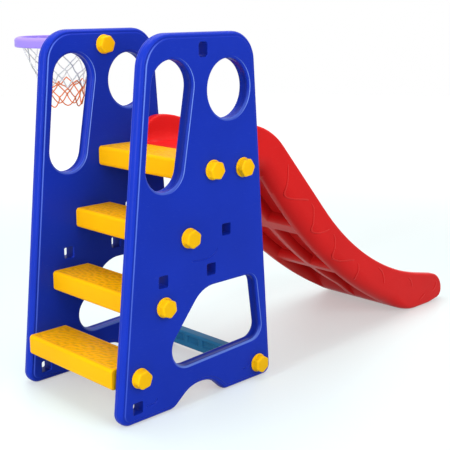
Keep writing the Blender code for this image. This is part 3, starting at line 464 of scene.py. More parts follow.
def step(index):
    """One step: its section carried across, with the tread sunk and pebbled inside the border."""
    shell = Shell()
    places = np.linspace(-HALF_WIDTH + STEP_END_ROUND, HALF_WIDTH - STEP_END_ROUND, 160)
    skin = beam_rows(step_path(), places, STEP_END_ROUND)
    x, y, z = skin[..., 0], skin[..., 1], skin[..., 2]
    middle, half = (STEP_FRONT + STEP_BACK) / 2, (STEP_BACK - STEP_FRONT) / 2
    inside = np.minimum(half - np.abs(x - middle), HALF_WIDTH - np.abs(y)) - TREAD_BORDER
    field = ramp(inside, 0.0, 0.004) * (z > TREAD_TOP - 1e-5)
    pebbled = ripples(x, y * 0.6, 31 + index, PEBBLE_SIZE) * ramp(inside, 0.002, 0.010)
    skin[..., 2] -= field * (TREAD_SINK - PEBBLE_HEIGHT * pebbled)
    rows = shell.grid(skin)
    # Painted shade in the hollows of the pebbled field
    tone = -DIMPLE_PAINTED_SHADE * field * ramp(1 - pebbled, 0.55, 1.0)
    close_ends(shell, rows, step_path(STEP_END_ROUND), (0.0, 0.0))
    tone = [tone.ravel(), np.zeros(shell.count - rows.size)]
    shell.piece(f"step_{index + 1}", STEP_YELLOW, "yellow", (BOLT_X[index], 0, BOLT_Z[index]), tone=tone)


for index in range(4):
    step(index)


# Slide
# One hollow moulding of red polyethylene, a trough between two thick walls, from the platform's back
# edge down to the floor. Pockets stiffen it underneath, and a raised line steps down each outer wall.
SLIDE_RED = moulded_plastic("slide_red", (0.7500, 0.0150, 0.0150), (0.90, 0.15, 0.13), 0.33, 0.12)
SLIDE_START, SLIDE_NOSE = 0.4313, 1.6898
START_ROUND, SLIDE_SPACING = 0.098, 0.007
SLIDE_SIDE = [(SLIDE_START, 0.6679, 0.020), (0.6273, 0.6679, 0.060), (0.9645, 0.2409, 1.900),
              (SLIDE_NOSE - 0.240, 0.0, 0.300), (SLIDE_NOSE - 0.080, 0.0, 0.100), (SLIDE_NOSE, 0.012, 0.030),
              (SLIDE_NOSE, 0.1035, 0.080), (1.1778, 0.2170, 1.136), (0.6423, 0.8159, 0.251),
              (SLIDE_START, 0.8159, START_ROUND)]
BED_LINE = [(SLIDE_START, 0.7299, 0.0), (0.6320, 0.7299, 0.186), (1.1433, 0.1581, 1.201),
            (SLIDE_NOSE - 0.0020, 0.0374, 0.008)]
LIP_HEIGHT = 0.0275
WALL_HEIGHT = 0.065
WALL_INNER_FACE = HALF_WIDTH - 0.036
WALL_TOP_ROUND = 0.009
TOP_EDGE, BOTTOM_EDGE, TOE_EDGE = 0.009, 0.050, 0.014
BED_ROUND = 0.040
HOLD = 0.002
POCKET_DEPTH = 0.042
POCKET_ENDS = SLIDE_START + np.array([(0.235, 0.404), (0.443, 0.644), (0.677, 0.950)])
POCKET_SIDES = np.array([(-0.147, -0.014), (0.014, 0.147)])
RIB_DEPTH = 0.015
RIB_FIELD = SLIDE_START + np.array([(0.222, 0.965)])
RAILS = np.array([(-0.150, 0.150)])
# Where the strip with a painted reflection beside the ribs lies, and the distances from a pocket's edge that
# get grid lines
STRIP = np.array([(0.152, 0.168)])
POCKET_STATIONS = np.array([-0.0045, -0.003, -0.0015, -0.0004, 0.0004, 0.0012, 0.0018, 0.0030, 0.0045,
                            0.0062])
BEAD_WIDTH, BEAD_HEIGHT, BEAD_ROOT = 0.0085, 0.0020, 0.0010
# Painted light under the slide: highlights on the lips, reflections on the strip and ribs, and shade
# deepening in the pockets
LIP_PAINTED_HIGHLIGHT, STRIP_PAINTED_REFLECTION, RIB_PAINTED_REFLECTION, POCKET_PAINTED_SHADE = 0.38, 0.30, 0.32, 0.40
# Painted light across the bead, side to side: painted shade on both flanks and a painted highlight on its
# crown
BEAD_PAINTED_LIGHT = np.array([-0.25, -0.20, -0.05, 0.12, 0.20, 0.15, 0.0, -0.20, -0.30])


def distances(points):
    """How far along a flat line each of its points lies."""
    return np.concatenate([[0], np.cumsum(np.hypot(*np.diff(points, axis=0).T))])


def along(path, places):
    """Points and normals at distances along a path, in straight lines between its own points."""
    run = distances(path[0])
    points, normals = (np.stack([np.interp(places, run, part[:, i]) for i in (0, 1)], 1) for part in path)
    return points, normals / np.hypot(*normals.T)[:, None]


def long_edge(path, run):
    """Radius of the slide's outer long edges every millimetre, and where: small on top, large below.

    It is TOP_EDGE + (bottom - TOP_EDGE) * how far the skin looks down, where bottom shrinks from
    BOTTOM_EDGE to TOE_EDGE at the toe. Sharp bends limit it, and a window smooths it.
    """
    spacing, reach = 0.001, 30
    looks_down = np.clip((0.2 - path[1][:, 1]) / 0.9, 0, 1)
    toe = ramp(path[0][:, 0], SLIDE_NOSE - 0.36, SLIDE_NOSE - 0.20)
    radius = TOP_EDGE + (BOTTOM_EDGE - TOP_EDGE - (BOTTOM_EDGE - TOE_EDGE) * toe) * looks_down
    even = np.arange(0, run[-1], spacing)
    wanted = np.interp(even, run, radius)
    bend = np.hypot(*np.gradient(along(path, even)[1], axis=0).T) / spacing
    limited = np.where(bend > 12, np.minimum(wanted, 0.9 / np.maximum(bend, 1.0)), wanted)
    window = np.hanning(2 * reach + 1)
    return even, np.convolve(np.pad(limited, reach, mode="edge"), window / window.sum(), mode="valid")


def sink(distance):
    """A pocket's depth, 0 to 1, at a distance inside its edge: rounded lip, steep wall, rounded floor."""
    lip, foot, floor = 0.0035, 0.0018, 0.0045
    at = [-lip, -0.8 * lip, -0.5 * lip, -0.2 * lip, 0, foot, foot + 0.2 * floor, foot + 0.5 * floor,
          foot + floor]
    return np.interp(distance, at, [0, 0.004, 0.03, 0.08, 0.18, 0.80, 0.90, 0.97, 1.0])


def inside_spans(value, spans):
    """How far a value lies inside the nearest of some spans; negative outside them all."""
    value = np.asarray(value)[..., None]
    return np.minimum(value - spans[:, 0], spans[:, 1] - value).max(-1)


def beside_ends(spans):
    """Grid lines on both sides of both ends of some spans, at the pocket stations."""
    return (spans[..., None] + np.array([[1], [-1]]) * POCKET_STATIONS).ravel()


def thinned(places, gap=4e-4):
    """Sorted places without those that stand too close before the next."""
    places = np.unique(places)
    return places[np.diff(places, append=9) > gap]


def outer_edge(edge):
    """The long edge's quarter as insets and heights over the flat side, held by a point at each end."""
    turn = np.linspace(0, np.pi / 2, 10)
    edge = edge[:, None]
    none = np.zeros_like(edge)
    inset = np.hstack([edge + HOLD, edge * (1 - np.sin(turn)), none])
    across = np.hstack([none, edge * (1 - np.cos(turn)), edge + HOLD])
    return inset, across


def lay(spots, outward, across):
    """Grid points from a line of plan spots: each (x, z) stays, and y comes from the across table."""
    return np.stack([outward[..., 0] + spots[:, None, 0], across, outward[..., 1] + spots[:, None, 1]], 2)


def underside(path, edge, places):
    """The slide from below, with its painted light: the side line carried across, pockets and ribs sunk.

    The painted light is painted shade that deepens with the pockets' depth, a painted highlight on the lips,
    and a painted reflection on ribs and the strip beside them.
    """
    spots, normals = along(path, places)
    inset, rise = outer_edge(edge(places))
    fixed = [beside_ends(POCKET_SIDES), beside_ends(RAILS), np.arange(-0.136, 0.137, 0.016)]
    fixed = thinned(np.round(np.concatenate(fixed), 5))
    inner = np.broadcast_to(fixed, (len(places), len(fixed)))
    across = np.hstack([rise - HALF_WIDTH, inner, (HALF_WIDTH - rise)[:, ::-1]])
    depth = np.hstack([inset, np.zeros_like(inner), inset[:, ::-1]])
    forward, sideways = inside_spans(spots[:, 0], POCKET_ENDS)[:, None], inside_spans(across, POCKET_SIDES)
    lengthwise, inward = inside_spans(spots[:, 0], RIB_FIELD)[:, None], inside_spans(across, RAILS)
    last = POCKET_ENDS[-1]
    fade = 1 - ramp(spots[:, 0], last.mean(), last[1] - 0.004)
    fade = np.where(spots[:, 0] > last[0] - 0.01, fade, 1.0)[:, None]
    deep = sink(forward) * sink(sideways)
    sunk = POCKET_DEPTH * deep + RIB_DEPTH * sink(lengthwise) * sink(inward)
    pocket, field = np.minimum(forward, sideways), np.minimum(lengthwise, inward)
    strip = np.minimum(lengthwise, inside_spans(np.abs(across), STRIP))
    # Painted light: a highlight band along the lips of pockets and rib field, a reflection on ribs and strip,
    # shade with pocket depth
    lip = sum(np.clip(1 - np.abs(distance + 0.0015) / 0.003, 0, 1) for distance in (pocket, field))
    rib = STRIP_PAINTED_REFLECTION * (strip > 0) + RIB_PAINTED_REFLECTION * sink(field) * (1 - deep)
    tone = (np.maximum(LIP_PAINTED_HIGHLIGHT * np.minimum(lip, 1), rib) - POCKET_PAINTED_SHADE * deep) * fade
    return lay(spots, -normals[:, None] * (depth + sunk * fade)[..., None], across), tone


def walls_and_bed(path, edge, places, bed):
    """The slide from above: over one wall, down its inner face, across the bed and up the other wall.

    Each station joins a spot on the walls' top line to one on the bed's line by a rounded edge, the
    plain wall and the bed's wide fillet, all smaller where the wall is low.
    """
    spots, normals = along(path, places)
    bed_run = distances(bed[0])
    square = (spots[:, 0] > SLIDE_START + START_ROUND) & (spots[:, 0] < SLIDE_NOSE - 0.050)
    met = np.interp(spots[:, 0] - WALL_HEIGHT * normals[:, 0], bed[0][:len(bed_run), 0], bed_run)
    known = np.concatenate([places[:1], places[square], places[-1:]])
    below, _ = along(bed, np.interp(places, known, np.concatenate([bed_run[-1:], met[square], [0.0]])))
    drop = below - spots
    height = np.hypot(*drop.T)
    down = np.where(height[:, None] > 1e-6, drop / np.maximum(height, 1e-6)[:, None], -normals)
    top = np.minimum(WALL_TOP_ROUND, 0.35 * height)[:, None]
    fillet = np.minimum(BED_ROUND, 0.60 * height)[:, None]
    height = height[:, None]
    turn = np.linspace(0, np.pi / 2, 10)
    level = np.linspace(0, 1, 8)[1:]
    inset, rise = outer_edge(edge(places))
    flat = np.zeros_like(height)
    depth = np.hstack([flat, top * (1 - np.cos(turn)), (top + height - fillet) / 2,
                       height - fillet * (1 - np.sin(turn)), height + flat * level])
    y = np.hstack([-WALL_INNER_FACE - top - HOLD, -WALL_INNER_FACE - top * (1 - np.sin(turn)),
                   flat - WALL_INNER_FACE, fillet * (1 - np.cos(turn)) - WALL_INNER_FACE,
                   (fillet - WALL_INNER_FACE) * (1 - level)])
    depth = np.hstack([depth, depth[:, -2::-1]])
    across = np.hstack([rise - HALF_WIDTH, y, -y[:, -2::-1], (HALF_WIDTH - rise)[:, ::-1]])
    inward = np.hstack([inset, np.zeros_like(depth), inset[:, ::-1]])
    sunk = np.hstack([np.zeros_like(inset), depth, np.zeros_like(inset)])
    return lay(spots, down[:, None] * sunk[..., None] - normals[:, None] * inward[..., None], across)


RAISED_LINE = [
    [(0.735, 0.674), (0.735, 0.651), (0.734, 0.619), (0.727, 0.586), (0.727, 0.570), (0.742, 0.558),
     (0.772, 0.550), (0.813, 0.544), (0.844, 0.536)],
    [(0.854, 0.524), (0.868, 0.508), (0.869, 0.481), (0.867, 0.446), (0.862, 0.436), (0.868, 0.422),
     (0.895, 0.413), (0.932, 0.414), (0.959, 0.417)],
    [(0.976, 0.399), (0.988, 0.379), (0.987, 0.347), (0.982, 0.319), (0.991, 0.303), (1.020, 0.290),
     (1.065, 0.285), (1.106, 0.277)],
    [(1.125, 0.262), (1.129, 0.235), (1.121, 0.210), (1.128, 0.193)],
    [(1.247, 0.222), (1.274, 0.201), (1.285, 0.176), (1.290, 0.147)],
    [(1.446, 0.142), (1.468, 0.125), (1.477, 0.095)],
    [(1.646, 0.083), (1.641, 0.059), (1.621, 0.047)],
    [(1.571, 0.049), (1.544, 0.035), (1.530, 0.029)]]


def raised_bead(line, path, edge):
    """A low rounded bead along a line drawn on the outer wall, which it follows over the long edge.

    Within the edge's radius r, at a distance q from the side line, the skin has turned by
    asin(1 - q / r), so it is lower by r (1 - cos(turn)). The bead is a lens across that skin.
    """
    line = np.asarray(line)
    run = distances(line)
    even = np.linspace(0, run[-1], max(12, int(run[-1] / 0.004)))
    middle = np.stack([np.interp(even, run, line[:, i]) for i in (0, 1)], 1)
    kernel = np.array([0.25, 0.5, 0.25])
    for _ in range(6):
        padded = np.pad(middle, ((1, 1), (0, 0)), mode="reflect", reflect_type="odd")
        middle = sum(k * padded[i:i + len(middle)] for i, k in enumerate(kernel))
    heading = np.gradient(middle, axis=0)
    heading /= np.hypot(*heading.T)[:, None]
    side = np.stack([-heading[:, 1], heading[:, 0]], 1)
    lens = np.linspace(-1, 1, len(BEAD_PAINTED_LIGHT))
    taper = np.sqrt(np.clip(1 - np.linspace(-1, 1, len(middle)) ** 8, 0.02, 1))
    spots = middle[:, None] + side[:, None] * (lens * BEAD_WIDTH / 2 * taper[:, None])[..., None]
    away = np.hypot(*(spots[:, :, None] - path[0][None, None]).transpose(3, 0, 1, 2))
    nearest = away.argmin(-1)
    radius = edge(distances(path[0])[nearest])
    turn = np.arcsin(np.clip(1 - away.min(-1) / radius, 0, 1))
    lift = (BEAD_HEIGHT + BEAD_ROOT) * np.sqrt(np.clip(1 - lens ** 2, 0, 1)) * taper[:, None] - BEAD_ROOT
    outward = path[1][nearest] * (np.sin(turn) * lift)[..., None]
    y = HALF_WIDTH - radius * (1 - np.cos(turn)) + np.cos(turn) * lift
    return np.stack([spots[..., 0] + outward[..., 0], y, spots[..., 1] + outward[..., 1]], 2)


def slide():
    """The slide: underside, walls and bed, the small face at its start, two flat sides, the beads."""
    side_line = rounded_path(SLIDE_SIDE, np.radians(0.5))
    run = distances(side_line[0])
    x, z = side_line[0].T
    lip_at = int(np.flatnonzero((x > SLIDE_NOSE - 0.028) & (z > LIP_HEIGHT))[0])
    lip_run = run[lip_at]
    bed = rounded_path(BED_LINE + [(*side_line[0][lip_at], 0.0)], np.radians(2), closed=False)
    even, smooth = long_edge(side_line, run)

    def edge(places):
        return np.interp(places, even, smooth)

    ends = np.interp(np.concatenate([POCKET_ENDS, RIB_FIELD]), x[:lip_at], run[:lip_at])
    places = [np.arange(0, lip_run, SLIDE_SPACING), beside_ends(ends), np.linspace(0, 0.03, 12),
              lip_run - np.linspace(0, 0.05, 16)]
    places = thinned(np.round(np.concatenate(places), 6))
    places[-1] = lip_run
    shell = Shell()
    below, shade = underside(side_line, edge, places)
    low = shell.grid(below, close_columns=False)
    nose_run, start_run = lip_run + 0.12, run[-1] - 0.155
    places = np.concatenate([np.linspace(lip_run, nose_run, 48),
                             np.arange(nose_run + SLIDE_SPACING, start_run - 0.005, SLIDE_SPACING),
                             np.linspace(start_run, run[-1], 50)])
    high = shell.grid(walls_and_bed(side_line, edge, places, bed), close_columns=False)
    inset, rise = outer_edge(edge(run[[-1, 0]]))
    spots, normals = side_line[0][[-1, 0]], side_line[1][[-1, 0]]
    outward = -normals[:, None] * inset[..., None]
    near = shell.grid(lay(spots, outward, rise - HALF_WIDTH), close_columns=False)
    far = shell.grid(lay(spots, outward, HALF_WIDTH - rise), close_columns=False)
    held = near.shape[1] - 1
    shell.fill(np.concatenate([near[:, held], low[0, held + 1:-held - 1], far[::-1, held],
                               high[-1, -held - 2:held:-1]]))
    shell.fill(np.concatenate([low[:, 0], high[1:, 0]]))
    shell.fill(np.concatenate([low[:, -1], high[1:, -1]]))
    tone = [shade.ravel(), np.zeros(shell.count - shade.size)]
    for line in RAISED_LINE:
        bead = raised_bead(line, side_line, edge)
        for mirrored in (bead, bead * (1, -1, 1)):
            shell.closed(mirrored)
            tone.append(np.tile(BEAD_PAINTED_LIGHT, len(bead)))
    shell.piece("slide", SLIDE_RED, "slide", tone=tone)


slide()


# Cross brace
# A low beam of teal polyethylene between the panels' back feet, with a bolt into each end. A row of
# pockets in its front face keeps the walls thin.
BRACE_TEAL = moulded_plastic("brace_teal", (0.0360, 0.2350, 0.4800), (0.25, 0.50, 0.65), 0.36, 0.12)
BRACE_FRONT, BRACE_DEPTH = 0.5325, 0.040
BRACE_BOTTOM, BRACE_HEIGHT = 0.022, 0.055
BRACE_ROUND, BRACE_END_ROUND = 0.007, 0.003
BRACE_POCKETS = np.array([(c - 0.0275, c + 0.0275) for c in 0.074 * (np.arange(4) - 1.5)])
BRACE_POCKET_LEVELS = np.array([(0.0425, 0.0665)])
BRACE_POCKET_DEPTH = 0.010


def brace_path(inset=0.0):
    """The brace's section, a rounded box with close points up its front face."""
    x, z = BRACE_FRONT + inset, BRACE_BOTTOM + inset
    far, top = BRACE_FRONT + BRACE_DEPTH - inset, BRACE_BOTTOM + BRACE_HEIGHT - inset
    corners = [(x, z), (far, z), (far, top), (x, top)]
    points, normals = rounded_path([(*corner, BRACE_ROUND - inset) for corner in corners], np.radians(8))
    levels = [beside_ends(BRACE_POCKET_LEVELS), np.arange(0.030, 0.070, 0.006)]
    levels = np.unique(np.concatenate(levels))[::-1]
    levels = levels[(levels < top - BRACE_ROUND) & (levels > z + BRACE_ROUND)]
    run = np.stack([np.full_like(levels, x), levels], 1)
    return np.concatenate([points, run]), np.concatenate([normals, np.tile((-1.0, 0.0), (len(run), 1))])


def brace():
    """The brace's section carried across, with its pockets pressed back from the front face."""
    shell = Shell()
    places = thinned(np.concatenate([beside_ends(BRACE_POCKETS), np.arange(-0.200, 0.201, 0.016)]), 3e-4)
    skin = beam_rows(brace_path(), places, BRACE_END_ROUND)
    pressed = sink(inside_spans(skin[..., 1], BRACE_POCKETS))
    pressed *= sink(inside_spans(skin[..., 2], BRACE_POCKET_LEVELS))
    skin[..., 0] += BRACE_POCKET_DEPTH * pressed * (skin[..., 0] < BRACE_FRONT + BRACE_ROUND)
    rows = shell.grid(skin)
    close_ends(shell, rows, brace_path(BRACE_END_ROUND), BRACE_BOLT)
    shell.piece("cross_brace", BRACE_TEAL, "brace")


brace()


# Bolts
# Thirteen large hand bolts of yellow nylon with six-sided heads on round flanges. Each turns in its
# own bore; six pass through each panel from outside, and one from inside holds the hoop.
BOLT_YELLOW = moulded_plastic("bolt_yellow", (1.0, 0.5200, 0.0030), (1.0, 0.70, 0.20), 0.30, 0.08, 0.15)
BOLT_TURNS = np.radians((10, 38, 22, 50, 5, 30))
OUTER_FACE = CLEAR_HALF + 2 * PANEL_HALF
BOLT_NAMES = [f"step_{i + 1}_bolt" for i in range(4)] + ["slide_bolt", "brace_bolt"]
# Profiles as radius and distance out of the panel's face; the head's radius is to its flats
TIP, SEAT = -0.0677, FIT
THREAD = np.arange(TIP + 0.004, -0.046, 0.0010)
RIDGE = 0.0108 + 0.0010 * np.abs(((THREAD - TIP) / 0.004) % 1 * 2 - 1)
SHANK = [(0.0095, TIP), (0.0105, TIP + 0.0010), *zip(RIDGE, THREAD), (0.0118, -0.044), (0.0118, SEAT)]
FLANGE = [(0.0285, SEAT), (0.0294, SEAT + 0.0006), (0.0300, SEAT + 0.0018), (0.0300, SEAT + 0.0030),
          (0.0296, SEAT + 0.0042), (0.0287, SEAT + 0.0050), (0.0272, SEAT + 0.0054)]
HEAD = [(0.0258, 0.0056), (0.0256, 0.0066), (0.0255, 0.0090), (0.0254, 0.0200), (0.0252, 0.0222),
        (0.0247, 0.0238), (0.0239, 0.0250), (0.0227, 0.0258), (0.0214, 0.0262), (0.0193, 0.0263),
        (0.0110, 0.0264)]


def bolt(node, spot, face, side, turn):
    """One bolt: round shank and flange, then a head that is six-sided.

    The head's radius at an angle is flat / (sum of cos(angle - face) ** 16 over its faces) ** (1 / 16),
    where only faces that look that way count: a hexagon with soft corners.
    """
    angle = round_angles(72)
    faces = np.pi / 3 * np.arange(6) + np.pi / 6
    six = (np.clip(np.cos(angle[:, None] - faces), 0, None) ** 16).sum(1) ** (-1 / 16)
    radius = np.array([r + 0 * six for r, _ in SHANK + FLANGE] + [r * six for r, _ in HEAD])
    y = np.array([y for _, y in SHANK + FLANGE + HEAD])[:, None] + 0 * angle
    u, v = radius * np.cos(angle), radius * np.sin(angle)
    x, z = u * np.cos(turn) + v * np.sin(turn), v * np.cos(turn) - u * np.sin(turn)
    shell = Shell()
    shell.closed(np.stack([x * side, y * side, z], 2) + (spot[0], face, spot[1]))
    shell.piece(node, BOLT_YELLOW, "yellow", body=node)


for side_name, side in (("near", -1), ("far", 1)):
    for name, spot, turn in zip(BOLT_NAMES, BOLTS, BOLT_TURNS):
        bolt(f"{side_name}_{name}", spot, side * OUTER_FACE, side, turn)
bolt("hoop_bolt", HOOP_SOCKET, CLEAR_HALF, -1, BOLT_TURNS[0])


# Hoop
# A small toy hoop of purple polypropylene in one piece: ring, neck, the plate that stands on the far
# panel, and a plug through its socket. Eight arches inside the ring carry the net.
HOOP_PURPLE = moulded_plastic("hoop_purple", (0.3760, 0.2620, 0.8710), (0.65, 0.55, 1.0), 0.34, 0.08)
HOOP_REACH = 0.184
HOOP_SPOT = (HOOP_SOCKET[0], OUTER_FACE + HOOP_REACH, 0)
RING_TOP, RING_LOW = 1.070, 1.037
RING_OUTER, RING_INNER = 0.152, 0.132
PEG_TOP, PEG_RADIUS, PEG_LENGTH = 1.042, 0.0026, 0.009
ARCH_HALF, ARCH_BAR = 0.006, 0.0020
ARCH_FOOT, ARCH_CROWN = PEG_TOP + 0.009, RING_TOP - 0.013
NET_COLUMNS = 8
PLATE = (0.090, 0.072, 0.012)
# The neck's middle height, width and height at the plate and in the ring
NECK_NEAR = (HOOP_SOCKET[1] - 0.003, 0.072, 0.052)
NECK_FAR = ((RING_TOP + RING_LOW) / 2, 0.056, 0.020)
PLATE_DROP, PLATE_THICK = 0.010, 0.008
PLUG_BORE_DEPTH = 0.069
# The ring's corners: distance in from the nearest face, and distance from its low edge or its top
RING_FOOT = [(0.0030, 0), (0.0012, 0.0005), (0.0003, 0.0016), (0, 0.0034)]
RING_SHOULDER = [(0, 0.0120), (0.0004, 0.0095), (0.0017, 0.0070), (0.0040, 0.0044), (0.0080, 0.0022),
                 (0.0125, 0.0006)]
RING_LIP = [(0.0045, 0), (0.0022, 0.0003), (0.0008, 0.0012), (0.0001, 0.0026), (0, 0.0040)]


def tube(line, radius, reference, sides=10):
    """A tube along a line: centre + radius (cos t across + sin t reference), squared up to the line."""
    heading = np.gradient(line, axis=0)
    heading /= np.linalg.norm(heading, axis=1)[:, None]
    up = reference - heading * (heading * reference).sum(1)[:, None]
    up /= np.linalg.norm(up, axis=1)[:, None]
    across = np.cross(heading, up)
    angle = round_angles(sides)[None, :, None]
    radius = np.broadcast_to(np.asarray(radius, float), (len(line),))[:, None, None]
    return line[:, None] + radius * (np.cos(angle) * across[:, None] + np.sin(angle) * up[:, None])


def upright(radius, angle, across, height):
    """Spots on the upright plane that faces the ring's axis at a radius and angle."""
    x = radius * np.cos(angle) - across * np.sin(angle)
    return np.stack([x, radius * np.sin(angle) + across * np.cos(angle), height + 0 * x], -1)


def hoop():
    """Ring, arches, pegs, neck, plate and plug, overlapping as one moulding.

    An arch's bar is a tube drawn out by half along the ring's radius. The neck's section goes evenly
    from the plate's size to the ring's, with a flare at the plate.
    """
    shell = Shell()
    ring = [(RING_OUTER - i, RING_LOW + d) for i, d in RING_FOOT]
    ring += [(RING_OUTER - i, RING_TOP - d) for i, d in RING_SHOULDER]
    ring += [(RING_INNER + i, RING_TOP - d) for i, d in RING_LIP]
    ring += [(RING_INNER + i, RING_LOW + d) for i, d in RING_FOOT[::-1]]
    radius, height = np.array(ring).T
    shell.grid(upright(radius, round_angles(128)[:, None], 0, height), close_rows=True)
    bend = np.linspace(0, np.pi, 13)
    leg = np.linspace(ARCH_FOOT, ARCH_CROWN, 5)[:4]
    across = np.concatenate([[-ARCH_HALF] * 4, -ARCH_HALF * np.cos(bend), [ARCH_HALF] * 4])
    height = np.concatenate([leg, ARCH_CROWN + ARCH_HALF * np.sin(bend), leg[::-1]])
    taper = np.array([1] * 7 + [0.55])
    for angle in 2 * np.pi / NET_COLUMNS * np.arange(NET_COLUMNS):
        inward = -np.array((np.cos(angle), np.sin(angle), 0.0))
        arch = upright(RING_INNER - 0.0010, angle, across, height)
        shape = tube(arch, ARCH_BAR, np.tile(inward, (len(arch), 1)), 12)
        shell.closed(shape + inward * 0.5 * ((shape - arch[:, None]) * inward).sum(2)[..., None])
        reach = np.linspace(RING_INNER + 0.004, RING_INNER - PEG_LENGTH, len(taper))
        peg = upright(reach, angle, 0 * reach, PEG_TOP - 0.003)
        shell.closed(tube(peg, taper * PEG_RADIUS, np.tile((0, 0, 1.0), (len(peg), 1)), 12))
    near, tip = FIT - HOOP_REACH, -HOOP_REACH - 2 * PANEL_HALF
    far = near + PLATE_THICK
    socket_z = HOOP_SOCKET[1]
    shell.closed(carry(box_path(0, socket_z - PLATE_DROP, *PLATE), [
        (0.005, near), (0.0006, near), (0.0, near + 0.0006),
        *((i, far - d) for i, d in quarter(0.0025, 4)[::-1]), (0.0045, far)]))
    share = np.linspace(0, 1, 25)
    sections = []
    for y, flare, t in zip(far - 0.001 + share * (0.001 - far - (RING_OUTER + RING_INNER) / 2),
                           np.interp(share, [0, 0.03, 0.08, 0.15], [0.010, 0.005, 0.0015, 0]),
                           ramp(share, 0.22, 1.0)):
        middle, width, tall = (a + (b - a) * t for a, b in zip(NECK_NEAR, NECK_FAR))
        edge = box_path(0, middle, width + flare, tall + flare, 0.006 + 0.003 * t)
        sections.append(carry(edge, [(0, y)])[0])
    shell.closed(np.array(sections))
    plug = HOOP_SOCKET_SIZE - np.array((2, 2, 1)) * FIT
    outer = shell.grid(carry(box_path(0, socket_z, *plug), [
        (0.0045, tip), (0.0010, tip), (0.0003, tip + 0.0003), (0, tip + 0.0010), (0, near + 0.001)]))
    bore = shell.grid(carry(oval_path(0, socket_z, BORE, BORE, 32), [
        (-0.0016, tip), (-0.0004, tip), (0, tip + 0.0004), (0, tip + PLUG_BORE_DEPTH)]))
    shell.fill(outer[0], bore[0])
    shell.fill(outer[-1])
    shell.fill(bore[-1])
    shell.piece("hoop", HOOP_PURPLE, "hoop", HOOP_SPOT)


hoop()


# Net
# A knotted net of polyester cord, white above and orange below, tied by hand. Its loops lie over the
# pegs under the arches, and it narrows downwards to eight loose bights.
NET_LEVELS = ((0.990, 0.106), (0.950, 0.086), (0.905, 0.073), (0.875, 0.068))
HEM_DROP, HEM_RADIUS = 0.030, 0.062
LOOP_RADIUS, LOOP_HALF = RING_INNER - 0.0045, 0.0055
CORD_RADIUS, KNOT_RADIUS, KNOT_HALF = 0.0020, 0.0030, 0.0042
LAY_LENGTH = 0.005


def cord_finish(name, light, groove_shade):
    """Twisted cord, dull and soft: slanting strands from the lay attribute, darker in the grooves between
    them as painted shade, and fine fibres.
    """
    finish, tree, shader = new_finish(name)
    phase = output(tree, "Attribute", attribute_name="lay", out="Fac")
    place = output(tree, "TexCoord", out="Object")
    fibres = output(tree, "TexNoise", place, Scale=900.0, Detail=2.0)
    raised = maths(tree, "MULTIPLY_ADD", maths(tree, "SINE", phase), 0.30, fibres)
    shader["Sheen Weight"].default_value = 0.25
    # Painted shade: the darker colour follows the grooves between the strands, and also varies at random with
    # the fibres
    feed(tree, shader["Base Color"], mixed(tree, raised, (*groove_shade, 1), (*light, 1)))
    feed(tree, shader["Roughness"], output(tree, "MapRange", fibres, To_Min=0.65, To_Max=0.85))
    feed(tree, shader["Normal"], output(tree, "Bump", Strength=0.6, Distance=0.0004, Height=raised))
    return finish


CORD_WHITE = cord_finish("cord_white", (0.80, 0.80, 0.78), (0.55, 0.55, 0.54))
CORD_ORANGE = cord_finish("cord_orange", (0.95, 0.230, 0.045), (0.72, 0.130, 0.025))
net_dice = np.random.default_rng(7)


def cord_lay(line, sides=10):
    """The strands' phase over a tube: distance along it over the twist's length, plus twice round."""
    run = distances(line[:, :2]) + np.abs(line[:, 2] - line[0, 2])
    angle = round_angles(sides)
    return (2 * np.pi * run[:, None] / LAY_LENGTH + 2 * angle).ravel()


def ring_spot(radius, column, height):
    """A spot about the ring's axis, at a column of the net (whole or part)."""
    return upright(radius, 2 * np.pi / NET_COLUMNS * np.asarray(column, float), 0, height)


def strand(ends, slack):
    """A cord between two knots: evenly from one to the other, bowed to one side by a seeded slack."""
    share = np.linspace(0, 1, 13)[:, None]
    line = ends[0] * (1 - share) + ends[1] * share
    middle = (ends[0] + ends[1]) / 2
    outward = middle * (1, 1, 0) / np.hypot(*middle[:2])
    sideways = np.cross(outward, ends[1] - ends[0])
    sideways /= np.linalg.norm(sideways)
    bow = net_dice.normal(0, slack, 3)
    line = line + np.sin(np.pi * share) * (bow[0] * sideways + bow[1] * 0.6 * outward)
    return line + np.sin(2 * np.pi * share) * bow[2] * 0.5 * sideways


def net(name, finish, strands, knots):
    """Cords as tubes and knots as small lumps, all in one mesh with the strands' phase stored on it."""
    belly = np.linspace(-1, 1, 7)
    lines = [(line, CORD_RADIUS) for line in strands]
    lines += [(spot + belly[:, None] * (0, 0, KNOT_HALF), KNOT_RADIUS * np.sqrt(1.06 - belly ** 2))
              for spot in knots]
    shell, phases = Shell(), []
    for line, radius in lines:
        outward = line * (1, 1, 0) / np.maximum(np.hypot(line[:, 0], line[:, 1]), 1e-6)[:, None]
        shell.closed(tube(line, radius, outward))
        phases.append(cord_lay(line))
    shell.piece("hoop_net", finish, "net", HOOP_SPOT, name=name, lay=phases)


